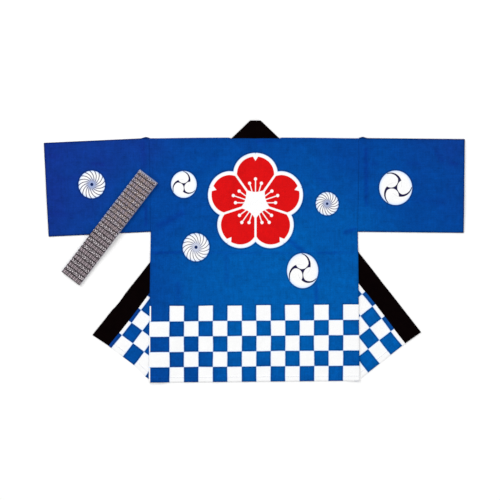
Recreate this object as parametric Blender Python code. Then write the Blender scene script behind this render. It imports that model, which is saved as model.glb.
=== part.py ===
"""A happi coat laid flat with its back up, both fronts folded out, and its belt folded on a sleeve.

Metres, +Z up. The coat lies on z = 0, x = 0 is the centre back, and +Y runs from hem to collar.
Every cloth piece is cut flat, scored where it will bend, and then folded and laid in its place.
A front and its half of the collar are worked out on the side of +X, and turned over for the other.
"""

import math

import bmesh
import bpy
from mathutils import Vector

# Driving dimensions of the coat, in metres
SPAN = 1.346  # cuff to cuff
LENGTH = 0.782  # shoulder line to hem
COLLAR_WIDTH = 0.0565
SHOULDER_HALF = 0.335  # centre back to the armhole seam
UNDERARM_HALF = 0.331
HEM_HALF = 0.337
SLEEVE_DEPTH = 0.298
CLOTH = 0.0010  # one wall of body or sleeve cloth
COLLAR_CLOTH = 0.0022  # the collar, four layers of cloth
SEAM = 0.0003  # between pieces that are sewn together, and between layers that lie together

# How the fronts lie
FRONT_TILT = math.radians(2.7)  # each front swings out this far before it is folded
# By side: the collar's fold at the nape from the centre, the collar's free edge from there to the
# front's fold, and that fold's angle
FRONT_DATA = {
    -1: {"nape": 0.0130, "start": 0.0282, "fold": math.radians(19.85)},
    1: {"nape": 0.0205, "start": 0.0382, "fold": math.radians(20.5)},
}
FOLD_TAKES = math.pi * (COLLAR_CLOTH + SEAM) / 2  # cloth used up by the turn of a fold
FOLD_STEPS = 12
SEAM_LIFT = (COLLAR_CLOTH - CLOTH) / 2  # a front enters the middle of the collar's edge
SEAM_LIFT_RUN = 0.015
NOTCH_DEPTH = 0.0022  # room for the collar's fold at the side of the neck
NOTCH_HALF = 0.0030
NAPE_REACH = 0.085  # from the nape's middle, the collar bends over the folds under it

# How cloth comes down from what is under it, as (share of the run, share of the height)
OFF_COLLAR_RUN = 0.026  # a front, off the free edge of the collar under it
OFF_COLLAR = ((0.0, 1.0), (1 / 3, 0.72), (2 / 3, 0.25), (1.0, 0.0))
OFF_SEAM_RUN = 0.018  # any layer, from the collar down to the front's own cloth
OFF_FOLD_RUN = 0.045  # the back, off the folded edge of a front and down to z = 0
OFF_FOLD = ((0.0, 1.0), (0.15, 0.88), (0.40, 0.48), (0.72, 0.10), (1.0, 0.0))

# Finishing of the edges
HEM_TURN = 0.018
HEM_RISE = 0.0005
ALLOWANCE = 0.020  # armhole seam allowance, pressed towards the sleeve
ALLOWANCE_RISE = 0.0006
RISE_RUN = 0.002  # length over which a hem or an allowance starts

# Sleeves: how far each cuff's top hangs below the shoulder line, and how far its lower end leans in
SLEEVES = {
    -1: {"name": "sleeve_left", "drop": 0.0155, "lean": 0.0155},
    1: {"name": "sleeve_right", "drop": 0.0035, "lean": 0.0035},
}
SLEEVE_LOFT = 0.0022  # air between the two walls of a sleeve
SHOULDER_BUMP = 0.0038  # the armhole's allowance pushes the sleeve's top edge out
SHOULDER_BUMP_AT = 0.012
SHOULDER_BUMP_HALF = 0.016
SHOULDER_BUMP_FROM = 0.75  # share of the sleeve's depth
LOFT_RUN = 0.4  # share of the sleeve's length over which that opens, from the armhole
SLEEVE_WAVE = 0.0007
SLEEVE_WAVES_ALONG = 1.3
SLEEVE_WAVES_ACROSS = 0.6

# The press crease across the back, and soft ridges where the cloth doesn't lie quite flat
PRESS_CREASE_Y = -0.005
PRESS_CREASE_HALF = 0.009
PRESS_CREASE_RISE = 0.0011
RIDGES = (
    {"from": (-0.300, 0.085), "to": (-0.170, 0.160), "half": 0.020, "rise": 0.0016},
    {"from": (0.128, 0.045), "to": (0.160, 0.000), "half": 0.014, "rise": 0.0014},
    {"from": (0.200, -0.095), "to": (0.202, -0.200), "half": 0.014, "rise": 0.0011},
    {"from": (-0.090, -0.060), "to": (-0.088, -0.190), "half": 0.016, "rise": 0.0009},
)
RIDGE_SCORES = (-1.0, -0.5, 0.0, 0.5, 1.0)  # shares of the half width

# The belt, folded into a bundle
BELT_WIDTH = 0.070
BELT_LENGTH = 0.411  # of the bundle
BELT_CLOTH = 0.0010
BELT_CENTRE = (-0.462, 0.081)
BELT_ANGLE = math.radians(52.5)  # its length from +X
BELT_GROOVE = 0.0035  # how far the bundle's edges part between layers
BELT_EDGE = 0.0006  # each layer's edge is rounded by this
BELT_DROP = 0.055  # length over which the bundle comes down off the sleeve
BELT_DROP_STEPS = 8
BELT_STATIONS = 24
# Each layer's reach past the bundle's upper and lower end; layers that are one fold share theirs
BELT_LAYERS = (
    {"upper": 0.0, "lower": 0.0},
    {"upper": 0.0, "lower": -0.0014},
    {"upper": -0.0018, "lower": -0.0014},
    {"upper": -0.0018, "lower": 0.0008},
    {"upper": -0.0006, "lower": 0.0008},
    {"upper": -0.0006, "lower": -0.0022},
)

BACK_GRID = 0.024
FRONT_GRID = 0.040
COLLAR_GRID = 0.050
SLEEVE_STATIONS = 14
SLEEVE_LEVELS = 11

TOP_Y = (LENGTH + COLLAR_WIDTH) / 2
SHOULDER_Y = TOP_Y - COLLAR_WIDTH
HEM_Y = SHOULDER_Y - LENGTH
UNDERARM_Y = SHOULDER_Y - SLEEVE_DEPTH
CUFF_HALF = SPAN / 2

COLOURS = {
    "body_cloth": ((0.010, 0.085, 0.36, 1), 0.85),
    "collar_cloth": ((0.006, 0.005, 0.006, 1), 0.80),
    "belt_cloth": ((0.30, 0.26, 0.27, 1), 0.85),
}


def interpolate(at, knots):
    """The value at a place between (place, value) knots, constant beyond them."""
    if at <= knots[0][0]:
        return knots[0][1]
    for (a, low), (b, high) in zip(knots, knots[1:]):
        if at <= b:
            return low + (high - low) * (at - a) / (b - a)
    return knots[-1][1]


def side_half(y):
    """Half the body's width at a height."""
    return interpolate(y, ((HEM_Y, HEM_HALF), (UNDERARM_Y, UNDERARM_HALF), (SHOULDER_Y, SHOULDER_HALF)))


def bell(distance, half):
    """1 on a ridge's line, falling smoothly to 0 at half its width."""
    if distance >= half:
        return 0.0
    return 0.5 + 0.5 * math.cos(math.pi * distance / half)


class Line:
    """A line through a point, its direction an angle from straight down towards +X.

    off() is positive on the line's upper right. A cut is scored along the line only on the side
    of x that side names, and only near the place that around names as (centre, reach).
    """

    def __init__(self, point, angle, side=0, around=None):
        self.point = Vector(point)
        self.angle = angle
        self.along = Vector((math.sin(angle), -math.cos(angle)))
        self.across = Vector((math.cos(angle), math.sin(angle)))
        self.side = side
        self.around = around

    def off(self, x, y):
        return (Vector((x, y)) - self.point).dot(self.across)

    def moved(self, distance):
        return Line(self.point + self.across * distance, self.angle, self.side, self.around)

    def on_side(self, side):
        """This line as it is on a side of the coat, turned over for the side of -X."""
        return Line((self.point.x * side, self.point.y), self.angle * side, side)

    def mirrored(self, x, y):
        """The place of a point once it is turned over this line."""
        return Vector((x, y)) - self.across * (2 * self.off(x, y))

    def turned_over(self, other):
        """This line once it is turned over another."""
        here = other.mirrored(*self.point)
        run = other.mirrored(*(self.point + self.along)) - here
        return Line(here, math.atan2(run.x, -run.y), self.side)

    def reaches(self, face):
        centre = face.calc_center_median().xy
        if self.side and centre.x * self.side < 0:
            return False
        return not self.around or (centre - self.around[0]).length < self.around[1]


def level(y):
    return Line((0, y), math.pi / 2)


def upright(x):
    return Line((x, 0), 0)


def grid(make, low, high, step):
    """Parallel scores that divide a length evenly."""
    count = max(1, round((high - low) / step))
    return [make(low + (high - low) * k / count) for k in range(1, count)]


class Front:
    """The lines of one front, and the heights of what lies on it, on the side of +X."""

    def __init__(self, nape, start, fold):
        self.nape = nape
        corner = Vector((nape, TOP_Y))
        self.nape_fold = Line(corner, (math.pi / 2 + FRONT_TILT) / 2)
        self.free_edge = Line(corner, FRONT_TILT)
        self.neck = nape + COLLAR_WIDTH * math.tan(self.nape_fold.angle)
        turn = corner + self.free_edge.along * start
        self.fold = Line(turn, fold)
        self.laid_edge = Line(turn, 2 * fold - FRONT_TILT)
        self.hem_run = (Vector((HEM_HALF, HEM_Y)) - corner).dot(self.free_edge.along)

    def under(self, x, y):
        """Height of the layer that hangs from the shoulder: it lies on the folded-out part."""
        over_panel = CLOTH + SEAM
        over_collar = COLLAR_CLOTH + SEAM
        off = self.laid_edge.off(x, y)
        if off > 0:
            return over_collar * interpolate(off / OFF_COLLAR_RUN, OFF_COLLAR)
        return interpolate(-off, ((COLLAR_WIDTH, over_collar), (COLLAR_WIDTH + OFF_SEAM_RUN, over_panel)))

    def under_back(self, x, y):
        """Height of the back over the front and collar, and down to z = 0 between the fronts."""
        in_collar = ((COLLAR_WIDTH, COLLAR_CLOTH), (COLLAR_WIDTH + OFF_SEAM_RUN, CLOTH))
        height = self.under(x, y) + interpolate(self.free_edge.off(x, y), in_collar) + SEAM
        return height * interpolate(-self.fold.off(x, y) / OFF_FOLD_RUN, OFF_FOLD)

    def lift(self, x, y):
        """How far the front's cloth stands up to meet the middle of the collar's edge."""
        return SEAM_LIFT * interpolate(
            (self.free_edge.off(x, y) - COLLAR_WIDTH) / SEAM_LIFT_RUN, ((0.0, 1.0), (1.0, 0.0))
        )

    def laid_scores(self):
        """Where a layer over the folded-out part bends."""
        places = [-COLLAR_WIDTH - OFF_SEAM_RUN, -COLLAR_WIDTH]
        places += [OFF_COLLAR_RUN * share for share, _ in OFF_COLLAR]
        return [self.laid_edge.moved(place) for place in places]

    def back_scores(self):
        """Where the back bends over this front."""
        scores = self.laid_scores()
        scores += [self.free_edge.moved(COLLAR_WIDTH + run) for run in (0.0, OFF_SEAM_RUN)]
        return scores + [self.fold.moved(-OFF_FOLD_RUN * share) for share, _ in OFF_FOLD]

    def fold_scores(self):
        return turn_scores(self.fold)


FRONTS = {side: Front(**data) for side, data in FRONT_DATA.items()}


def turn_scores(line):
    """The scores that the turn of a fold along a line needs."""
    return [line.moved(FOLD_TAKES * (k / FOLD_STEPS - 0.5)) for k in range(FOLD_STEPS + 1)]


def folded(line, x, y, upper, lower, offset):
    """A point of cloth folded under along a line.

    The cloth on the line's plus side stays, its middle at the height upper. The rest turns over to
    lie with its middle at the height lower. offset is the point's height above the middle of the
    cloth before it is turned.
    """
    away = line.off(x, y)
    half_turn = FOLD_TAKES / 2
    if away >= half_turn:
        return Vector((x, y, upper + offset))
    if away <= -half_turn:
        return Vector((*line.mirrored(x, y), lower - offset))
    turn = math.pi * (half_turn - away) / FOLD_TAKES
    radius = (upper - lower) / 2
    foot = Vector((x, y)) - line.across * away
    place = foot + line.across * (half_turn - (radius + offset) * math.sin(turn))
    return Vector((*place, (upper + lower) / 2 + (radius + offset) * math.cos(turn)))


def scored(outline, lines):
    """A flat cut of cloth, scored along lines, as (points, triangles, rim edges)."""
    bm = bmesh.new()
    bm.faces.new([bm.verts.new((x, y, 0)) for x, y in outline])
    for line in lines:
        faces = [f for f in bm.faces if line.reaches(f)]
        edges = {e for f in faces for e in f.edges}
        verts = {v for f in faces for v in f.verts}
        bmesh.ops.bisect_plane(
            bm,
            geom=[*verts, *edges, *faces],
            dist=5e-5,
            plane_co=(*line.point, 0),
            plane_no=(*line.across, 0),
        )
    bmesh.ops.triangulate(bm, faces=bm.faces[:])
    bm.verts.index_update()
    points = [(v.co.x, v.co.y) for v in bm.verts]
    triangles = [[v.index for v in f.verts] for f in bm.faces]
    rim = [[v.index for v in e.verts] for e in bm.edges if len(e.link_faces) == 1]
    bm.free()
    return points, triangles, rim


def solid(name, points, faces, slot):
    """A closed mesh object with its faces turned outwards."""
    bm = bmesh.new()
    verts = [bm.verts.new(p) for p in points]
    for face in faces:
        bm.faces.new([verts[i] for i in face])
    bmesh.ops.recalc_face_normals(bm, faces=bm.faces[:])
    mesh = bpy.data.meshes.new(name)
    bm.to_mesh(mesh)
    bm.free()
    mesh.materials.append(MATERIALS[slot])
    mesh.shade_smooth()
    mesh.set_sharp_from_angle(angle=math.radians(40))
    obj = bpy.data.objects.new(name, mesh)
    bpy.context.scene.collection.objects.link(obj)


def cloth(name, cut, thickness, place, slot):
    """A wall of cloth from a flat cut. place(x, y, h) gives where a point h above its lower face goes."""
    flat, triangles, rim = cut
    count = len(flat)
    points = [place(x, y, 0.0) for x, y in flat] + [place(x, y, thickness) for x, y in flat]
    faces = [t[::-1] for t in triangles]
    faces += [[i + count for i in t] for t in triangles]
    faces += [[a, b, b + count, a + count] for a, b in rim]
    solid(name, points, faces, slot)


def crease_height(x, y):
    """The press crease and the soft ridges of the back."""
    height = PRESS_CREASE_RISE * bell(abs(y - PRESS_CREASE_Y), PRESS_CREASE_HALF)
    for ridge in RIDGES:
        start, end = Vector(ridge["from"]), Vector(ridge["to"])
        run = end - start
        share = max(0.0, min(1.0, (Vector((x, y)) - start).dot(run) / run.length_squared))
        away = (Vector((x, y)) - start - run * share).length
        height += ridge["rise"] * bell(away, ridge["half"])
    return height


def crease_scores():
    """Scores along and across each crease, reaching no further than it does."""
    scores = [level(PRESS_CREASE_Y + PRESS_CREASE_HALF * share) for share in RIDGE_SCORES]
    for ridge in RIDGES:
        start, end, half = Vector(ridge["from"]), Vector(ridge["to"]), ridge["half"]
        run = end - start
        around = ((start + end) / 2, run.length / 2 + 1.2 * half)
        angle = math.atan2(run.x, -run.y)
        scores += [Line(start, angle, 0, around).moved(half * share) for share in RIDGE_SCORES]
        for place, out in ((start, -1), (start, -0.5), (start, 0), (end, 0), (end, 0.5), (end, 1)):
            scores.append(Line(place + run.normalized() * half * out, angle + math.pi / 2, 0, around))
    return scores


def back_lower(x, y):
    """Height of the back's lower face."""
    return FRONTS[1 if x > 0 else -1].under_back(abs(x), y) + crease_height(x, y)


def make_back():
    """The back body. A notch at each side of the neck leaves room for the collar's fold."""

    def half_outline(side):
        neck = FRONTS[side].neck
        half = [
            (neck - 2 * NOTCH_HALF, SHOULDER_Y - SEAM),
            (neck - NOTCH_HALF, SHOULDER_Y - NOTCH_DEPTH),
            (neck + NOTCH_HALF, SHOULDER_Y - NOTCH_DEPTH),
            (neck + 1.5 * NOTCH_HALF, SHOULDER_Y),
            (SHOULDER_HALF, SHOULDER_Y),
            (UNDERARM_HALF, UNDERARM_Y),
            (HEM_HALF, HEM_Y),
        ]
        return [(x * side, y) for x, y in half[::side]]

    outline = half_outline(1) + half_outline(-1)
    lines = [upright(0)]
    for side, front in FRONTS.items():
        lines += [line.on_side(side) for line in front.back_scores()]
    lines += grid(upright, -HEM_HALF, HEM_HALF, BACK_GRID)
    lines += grid(level, HEM_Y, SHOULDER_Y, BACK_GRID)
    lines += crease_scores()
    lines += [level(HEM_Y + HEM_TURN), level(HEM_Y + HEM_TURN + 2 * SEAM)]

    def place(x, y, h):
        hem = HEM_RISE if h and y < HEM_Y + HEM_TURN + SEAM else 0.0
        return Vector((x, y, back_lower(x, y) + h + hem))

    cloth("back", scored(outline, lines), CLOTH, place, "body_cloth")


def make_front(side, name):
    """A front: its upper part hangs from shoulder and side seam, and the rest is folded out under it."""
    front = FRONTS[side]
    seam = front.free_edge.moved(COLLAR_WIDTH + SEAM)
    corner = Vector((HEM_HALF, HEM_Y))
    top = seam.point + seam.along * ((seam.point.y - SHOULDER_Y) / -seam.along.y)
    hem_front = seam.point + seam.along * front.hem_run
    outline = [
        (top + seam.along * NOTCH_DEPTH)[:],
        (top.x + NOTCH_HALF, SHOULDER_Y - NOTCH_DEPTH),
        (top.x + 1.5 * NOTCH_HALF, SHOULDER_Y),
        (SHOULDER_HALF, SHOULDER_Y),
        (UNDERARM_HALF, UNDERARM_Y),
        corner[:],
        hem_front[:],
    ]
    hem_line = Line(corner - seam.along * HEM_TURN, math.pi / 2 + FRONT_TILT)
    lines = front.laid_scores() + front.fold_scores()
    lines += [seam.moved(SEAM_LIFT_RUN - SEAM), hem_line, hem_line.moved(2 * SEAM)]
    lines += grid(upright, top.x, HEM_HALF, FRONT_GRID) + grid(level, HEM_Y, SHOULDER_Y, FRONT_GRID)

    def place(x, y, h):
        # The folded-out part lies with its first lower face up, so its hem thickens that face.
        beside_back = front.fold.mirrored(x, y).x > HEM_HALF
        in_hem = h == 0 and hem_line.off(x, y) < SEAM and beside_back
        lower = CLOTH / 2 + front.lift(x, y)
        offset = h - CLOTH / 2 - (HEM_RISE if in_hem else 0.0)
        spot = folded(front.fold, x, y, front.under(x, y) + lower, lower, offset)
        return Vector((spot.x * side, spot.y, spot.z))

    cloth(name, scored(outline, lines), CLOTH, place, "body_cloth")


def make_collar():
    """The collar, one strip: the nape, turned under at each side of the neck, then out with each front."""
    middle = COLLAR_CLOTH / 2
    over = COLLAR_CLOTH + SEAM
    ends = {side: side * (front.nape + front.hem_run) for side, front in FRONTS.items()}
    outline = [(ends[s], SHOULDER_Y + r) for s, r in ((-1, 0), (1, 0), (1, COLLAR_WIDTH), (-1, COLLAR_WIDTH))]
    lines = [upright(0), level(SHOULDER_Y + COLLAR_WIDTH / 2)]
    nape_reach = (Vector((0, SHOULDER_Y + COLLAR_WIDTH / 2)), NAPE_REACH)
    for side, front in FRONTS.items():
        scores = front.laid_scores() + front.fold_scores()
        scores = [line.turned_over(front.nape_fold) for line in scores] + turn_scores(front.nape_fold)
        lines += [line.on_side(side) for line in scores]
        for line in front.back_scores():
            line = line.on_side(side)
            line.around = nape_reach
            lines.append(line)
    lines += grid(upright, ends[-1], ends[1], COLLAR_GRID)

    def place(s, y, h):
        side = 1 if s > 0 else -1
        front, x = FRONTS[side], abs(s)
        offset = h - middle
        if front.nape_fold.off(x, y) > FOLD_TAKES / 2:
            # Turned under once already, so what was its upper face is now its lower one.
            turned = front.nape_fold.mirrored(x, y)
            spot = folded(front.fold, *turned, front.under(*turned) + middle, middle, -offset)
        else:
            nape = Line(front.nape_fold.point, front.nape_fold.angle + math.pi)
            spot = folded(nape, x, y, over + middle, middle, offset)
            spot.z += front.under_back(spot.x, spot.y) - over
        return Vector((spot.x * side, spot.y, spot.z))

    cloth("collar", scored(outline, lines), COLLAR_CLOTH, place, "collar_cloth")


def sleeve_point(side, u, v):
    """The place of u from armhole to cuff and v from lower edge to top edge, both 0 to 1."""
    data = SLEEVES[side]
    y = UNDERARM_Y + SLEEVE_DEPTH * v
    armhole = Vector((side_half(y) + SEAM, y))
    cuff_top = Vector((CUFF_HALF, SHOULDER_Y - data["drop"]))
    cuff_low = cuff_top - Vector((data["lean"], SLEEVE_DEPTH))
    place = armhole.lerp(cuff_low.lerp(cuff_top, v), u)
    from_seam = place.x - armhole.x
    bump = SHOULDER_BUMP * bell(abs(from_seam - SHOULDER_BUMP_AT), SHOULDER_BUMP_HALF)
    bump *= interpolate(v, ((SHOULDER_BUMP_FROM, 0.0), (1.0, 1.0)))
    return place.x * side, place.y + bump


def sleeve_loft(side, u, v):
    """How far a sleeve's upper wall stands off its lower one."""
    swell = SLEEVE_LOFT * math.sin(math.pi * v) ** 0.5
    turns = SLEEVE_WAVES_ALONG * u + SLEEVE_WAVES_ACROSS * v * side
    wave = SLEEVE_WAVE * math.sin(2 * math.pi * turns) * math.sin(math.pi * v)
    return (swell + wave) * min(1.0, u / LOFT_RUN)


def sleeve_rise(u):
    """Extra thickness of the upper wall: the armhole's allowance and the cuff's hem."""
    run = CUFF_HALF - UNDERARM_HALF
    allowance = ((0, 0), (RISE_RUN, ALLOWANCE_RISE), (ALLOWANCE, ALLOWANCE_RISE), (ALLOWANCE + RISE_RUN, 0))
    hem = ((HEM_TURN, HEM_RISE), (HEM_TURN + RISE_RUN, 0))
    return interpolate(u * run, allowance) + interpolate((1 - u) * run, hem)


def sleeve_stations():
    """The places u where a sleeve has a ring."""
    run = CUFF_HALF - UNDERARM_HALF
    marks = [RISE_RUN, SHOULDER_BUMP_AT, ALLOWANCE, ALLOWANCE + RISE_RUN, SHOULDER_BUMP_AT + SHOULDER_BUMP_HALF]
    marks += [run - HEM_TURN - RISE_RUN, run - HEM_TURN]
    even = [run * k / SLEEVE_STATIONS for k in range(SLEEVE_STATIONS + 1)]
    marks += [e for e in even if all(abs(e - m) > 2 * RISE_RUN for m in marks[1:])]
    return sorted(m / run for m in marks)


def make_sleeve(side, name):
    """A flattened tube, open at the armhole and the cuff."""
    levels = [0.5 - 0.5 * math.cos(math.pi * k / SLEEVE_LEVELS) for k in range(SLEEVE_LEVELS + 1)]
    outer_turn = CLOTH + SEAM / 2
    inner_turn = SEAM / 2
    bends = [math.pi / 4, math.pi / 2, 3 * math.pi / 4]
    rings = []
    for u in sleeve_stations():
        outer, inner = [], []
        for v in levels:
            x, y = sleeve_point(side, u, v)
            outer.append((x, y, 0.0))
            inner.append((x, y, CLOTH))
        x, y = sleeve_point(side, u, 1.0)
        for bend in bends:
            out, up = math.sin(bend), math.cos(bend)
            outer.append((x, y + outer_turn * out, outer_turn - outer_turn * up))
            inner.append((x, y + inner_turn * out, outer_turn - inner_turn * up))
        for v in reversed(levels):
            x, y = sleeve_point(side, u, v)
            under = CLOTH + SEAM + sleeve_loft(side, u, v)
            outer.append((x, y, under + CLOTH + sleeve_rise(u)))
            inner.append((x, y, under))
        x, y = sleeve_point(side, u, 0.0)
        for bend in bends:
            out, up = math.sin(bend), math.cos(bend)
            outer.append((x, y - outer_turn * out, outer_turn + outer_turn * up))
            inner.append((x, y - inner_turn * out, outer_turn + inner_turn * up))
        rings.append(outer + inner)
    around = len(rings[0]) // 2
    points = [p for ring in rings for p in ring]
    faces = []
    for k in range(len(rings) - 1):
        here, there = 2 * around * k, 2 * around * (k + 1)
        for i in range(around):
            j = (i + 1) % around
            faces.append([here + i, here + j, there + j, there + i])
            faces.append([here + around + j, here + around + i, there + around + i, there + around + j])
    for end in (0, 2 * around * (len(rings) - 1)):
        for i in range(around):
            j = (i + 1) % around
            faces.append([end + i, end + j, end + around + j, end + around + i])
    solid(name, points, faces, "body_cloth")


def coat_top(x, y):
    """The height of the coat's upper face under the belt, 0 beside it."""
    if x > -side_half(y):
        return back_lower(x, y) + CLOTH
    u = (-x - UNDERARM_HALF) / (CUFF_HALF - UNDERARM_HALF)
    low, top = sleeve_point(-1, u, 0.0)[1], sleeve_point(-1, u, 1.0)[1]
    if y < low - 2 * CLOTH:
        return 0.0
    v = min(1.0, max(0.0, (y - low) / (top - low)))
    return 2 * CLOTH + SEAM + sleeve_loft(-1, u, v) + sleeve_rise(u)


def belt_place(s, r):
    """Where a point s along the belt bundle and r across it lies."""
    along = Vector((math.cos(BELT_ANGLE), math.sin(BELT_ANGLE)))
    across = Vector((-along.y, along.x))
    return Vector(BELT_CENTRE) + along * s + across * r


def belt_under(s):
    """Height of the bundle's lower face: it clears the sleeve, and comes down beyond it."""
    heights = []
    for k in range(BELT_DROP_STEPS + 1):
        share = k / BELT_DROP_STEPS
        spots = [belt_place(s + BELT_DROP * share, BELT_WIDTH * w) for w in (-0.5, -0.25, 0.0, 0.25, 0.5)]
        highest = max(coat_top(*spot) for spot in spots)
        fade = 0.5 + 0.5 * math.cos(math.pi * share)
        heights.append(fade * (highest + SEAM if highest else 0.0))
    return max(heights)


def belt_profile():
    """Rows up the bundle's edge: height, how far it is inset at the sides, and where each end is."""
    pitch = BELT_CLOTH + SEAM
    rows = []
    for k, layer in enumerate(BELT_LAYERS):
        low = k * pitch
        if k:
            # Two layers that are one fold are joined at its end, and parted at the other end.
            below = BELT_LAYERS[k - 1]
            upper = layer["upper"] if k % 2 else min(layer["upper"], below["upper"]) - BELT_GROOVE
            lower = layer["lower"] if k % 2 == 0 else min(layer["lower"], below["lower"]) - BELT_GROOVE
            rows.append((low - SEAM / 2, BELT_GROOVE, upper, lower))
        for share, inset in ((0.0, BELT_EDGE), (0.3, 0.0), (0.7, 0.0), (1.0, BELT_EDGE)):
            joined_up = share == (1.0 if k % 2 == 0 else 0.0)
            joined_low = share == (0.0 if k % 2 == 0 else 1.0) and 0 < k + share < len(BELT_LAYERS)
            upper = layer["upper"] - (0.0 if joined_up else inset)
            lower = layer["lower"] - (0.0 if joined_low else inset)
            rows.append((low + share * BELT_CLOTH, inset, upper, lower))
    return rows


def make_belt():
    """The belt's bundle: one solid, parted into layers at its edges."""
    points, faces = [], []
    for height, inset, upper, lower in belt_profile():
        half = BELT_WIDTH / 2 - inset
        low, high = -BELT_LENGTH / 2 - lower, BELT_LENGTH / 2 + upper
        run = [low + (high - low) * k / BELT_STATIONS for k in range(BELT_STATIONS + 1)]
        for s, r in [(s, half) for s in run] + [(s, -half) for s in reversed(run)]:
            points.append((*belt_place(s, r), belt_under(s) + height))
    around = 2 * (BELT_STATIONS + 1)
    levels = len(points) // around
    for k in range(levels - 1):
        for i in range(around):
            j = (i + 1) % around
            faces.append([k * around + i, k * around + j, (k + 1) * around + j, (k + 1) * around + i])
    for start in (0, (levels - 1) * around):
        for i in range(BELT_STATIONS):
            faces.append([start + i, start + i + 1, start + around - 2 - i, start + around - 1 - i])
    solid("belt", points, faces, "belt_cloth")


def make_materials():
    made = {}
    for name, (colour, roughness) in COLOURS.items():
        material = bpy.data.materials.new(name)
        material.use_nodes = True
        shader = material.node_tree.nodes["Principled BSDF"]
        shader.inputs["Base Color"].default_value = colour
        shader.inputs["Roughness"].default_value = roughness
        shader.inputs["Metallic"].default_value = 0.0
        material.diffuse_color = colour
        made[name] = material
    return made


for old in list(bpy.data.objects):
    bpy.data.objects.remove(old)
MATERIALS = make_materials()
make_back()
make_front(-1, "front_left")
make_front(1, "front_right")
make_collar()
make_sleeve(-1, "sleeve_left")
make_sleeve(1, "sleeve_right")
make_belt()
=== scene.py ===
"""The looks of a happi coat that lies flat with its back up, its fronts folded out and its belt on a sleeve.

Metres, +Z up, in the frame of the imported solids. Every cloth piece is a fine closed sheet, cut flat and
then folded and laid where its solid lies. Patterns are drawn in the flat cloth's own coordinates.
"""

import math
from functools import partialmethod

import bmesh
import bpy
import numpy as np
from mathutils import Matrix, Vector
from mathutils.bvhtree import BVHTree


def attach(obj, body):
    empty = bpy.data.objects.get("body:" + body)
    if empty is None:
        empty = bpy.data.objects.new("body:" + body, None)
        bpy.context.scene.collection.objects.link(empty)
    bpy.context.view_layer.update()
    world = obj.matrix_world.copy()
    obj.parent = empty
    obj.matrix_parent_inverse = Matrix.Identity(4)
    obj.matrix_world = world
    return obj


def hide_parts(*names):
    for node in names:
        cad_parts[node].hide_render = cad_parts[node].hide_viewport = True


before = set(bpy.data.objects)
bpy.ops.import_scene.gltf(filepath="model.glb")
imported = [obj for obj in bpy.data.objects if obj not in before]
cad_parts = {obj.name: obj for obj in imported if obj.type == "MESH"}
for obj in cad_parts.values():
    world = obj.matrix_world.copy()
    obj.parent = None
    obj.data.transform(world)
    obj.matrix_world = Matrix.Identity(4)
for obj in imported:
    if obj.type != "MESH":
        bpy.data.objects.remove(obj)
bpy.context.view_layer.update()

SIDES = {-1: "left", 1: "right"}

# The cut of the coat, as the solids have it
SPAN = 1.346
LENGTH = 0.782
COLLAR_WIDTH = 0.0565
SHOULDER_HALF = 0.335
UNDERARM_HALF = 0.331
HEM_HALF = 0.337
SLEEVE_DEPTH = 0.298
CLOTH = 0.0010
COLLAR_CLOTH = 0.0022
SEAM = 0.0003
FRONT_TILT = math.radians(2.7)
FRONT_DATA = {
    -1: {"nape": 0.0130, "start": 0.0282, "fold": math.radians(19.85)},
    1: {"nape": 0.0205, "start": 0.0382, "fold": math.radians(20.5)},
}

# Folds, and over which runs the cloth settles beside what lies under it
FOLD_TAKES = math.pi * (COLLAR_CLOTH + SEAM) / 2
FOLD_STEPS = 9
SEAM_LIFT = (COLLAR_CLOTH - CLOTH) / 2
SEAM_LIFT_RUN = 0.015
BESIDE_RUN = 0.002
HEM_TILTS = 0.022
NOTCH_DEPTH = 0.0022
NOTCH_HALF = 0.0045
NOTCH_RUN = 0.020
OFF_COLLAR_RUN = 0.026
OFF_SEAM_RUN = 0.018
OFF_FOLD_RUN = 0.045
OFF_FOLD_POWER = 1.5

# Turned hems, the sleeves' seam allowances, and edges with their painted shade and wear
HEM_TURN = 0.018
HEM_RISE = 0.0005
HEM_STEP = 0.0006
ALLOWANCE = 0.020
ALLOWANCE_RISE = 0.0006
RISE_RUN = 0.0015
EDGE_BULGE = 0.00025
SHADE_AND_WEAR_REACH = 0.0024
SEWN_SHADE_AND_WEAR = 0.03

# Flat sizes and areas in square metres, and how long the collar and the belt are unfolded
FRONT_FLAT = (0.275, 0.795)
FRONT_AREA = 0.187
BACK_AREA = 0.526
COLLAR_RUN = 1.74
BELT_RUN = 2.46

# How far the laid-out collar strays outward from its straight line, in millimetres, as (along the
# front's edge from the neck, at its seam, at its folded edge)
COLLAR_STRAY = {
    -1: (
        (430, 0.0, 0.0), (560, -0.6, -0.6), (610, -1.2, 0.0), (661, -2.1, 1.4), (688, -2.8, 1.8),
        (704, -2.8, 1.0), (722, -2.9, 0.6), (738, -2.9, 1.7), (752, -2.6, 3.4), (770, -2.0, 4.4),
        (789, -1.8, 4.5), (805, -0.6, 4.8), (837, 0.6, 6.1),
    ),
    1: (
        (420, 0.0, 0.0), (470, 1.2, 6.6), (530, 2.4, 7.3), (600, 2.5, 7.2), (636, 2.0, 7.0), (655, 3.2, 6.3),
        (700, 3.2, 6.6), (734, 2.8, 6.5), (768, 2.4, 6.2), (800, 0.8, 5.9), (830, 0.5, 5.5),
    ),
}
STRAY_RUN = 0.075
# How much longer the collar is at its two ends, at its seam and at its folded edge
COLLAR_END = {-1: (-0.0005, 0.0031), 1: (0.0, 0.0036)}
COLLAR_END_RUN = 0.05
# The shoulder line swells between the neck and the armhole.
SWELL = 0.0024
SWELL_AT = (0.052, 0.085, 0.18, 0.32)
SWELL_SHARES = (0.0, 1.0, 0.8, 0.0)
SWELL_RUN = 0.05
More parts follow.
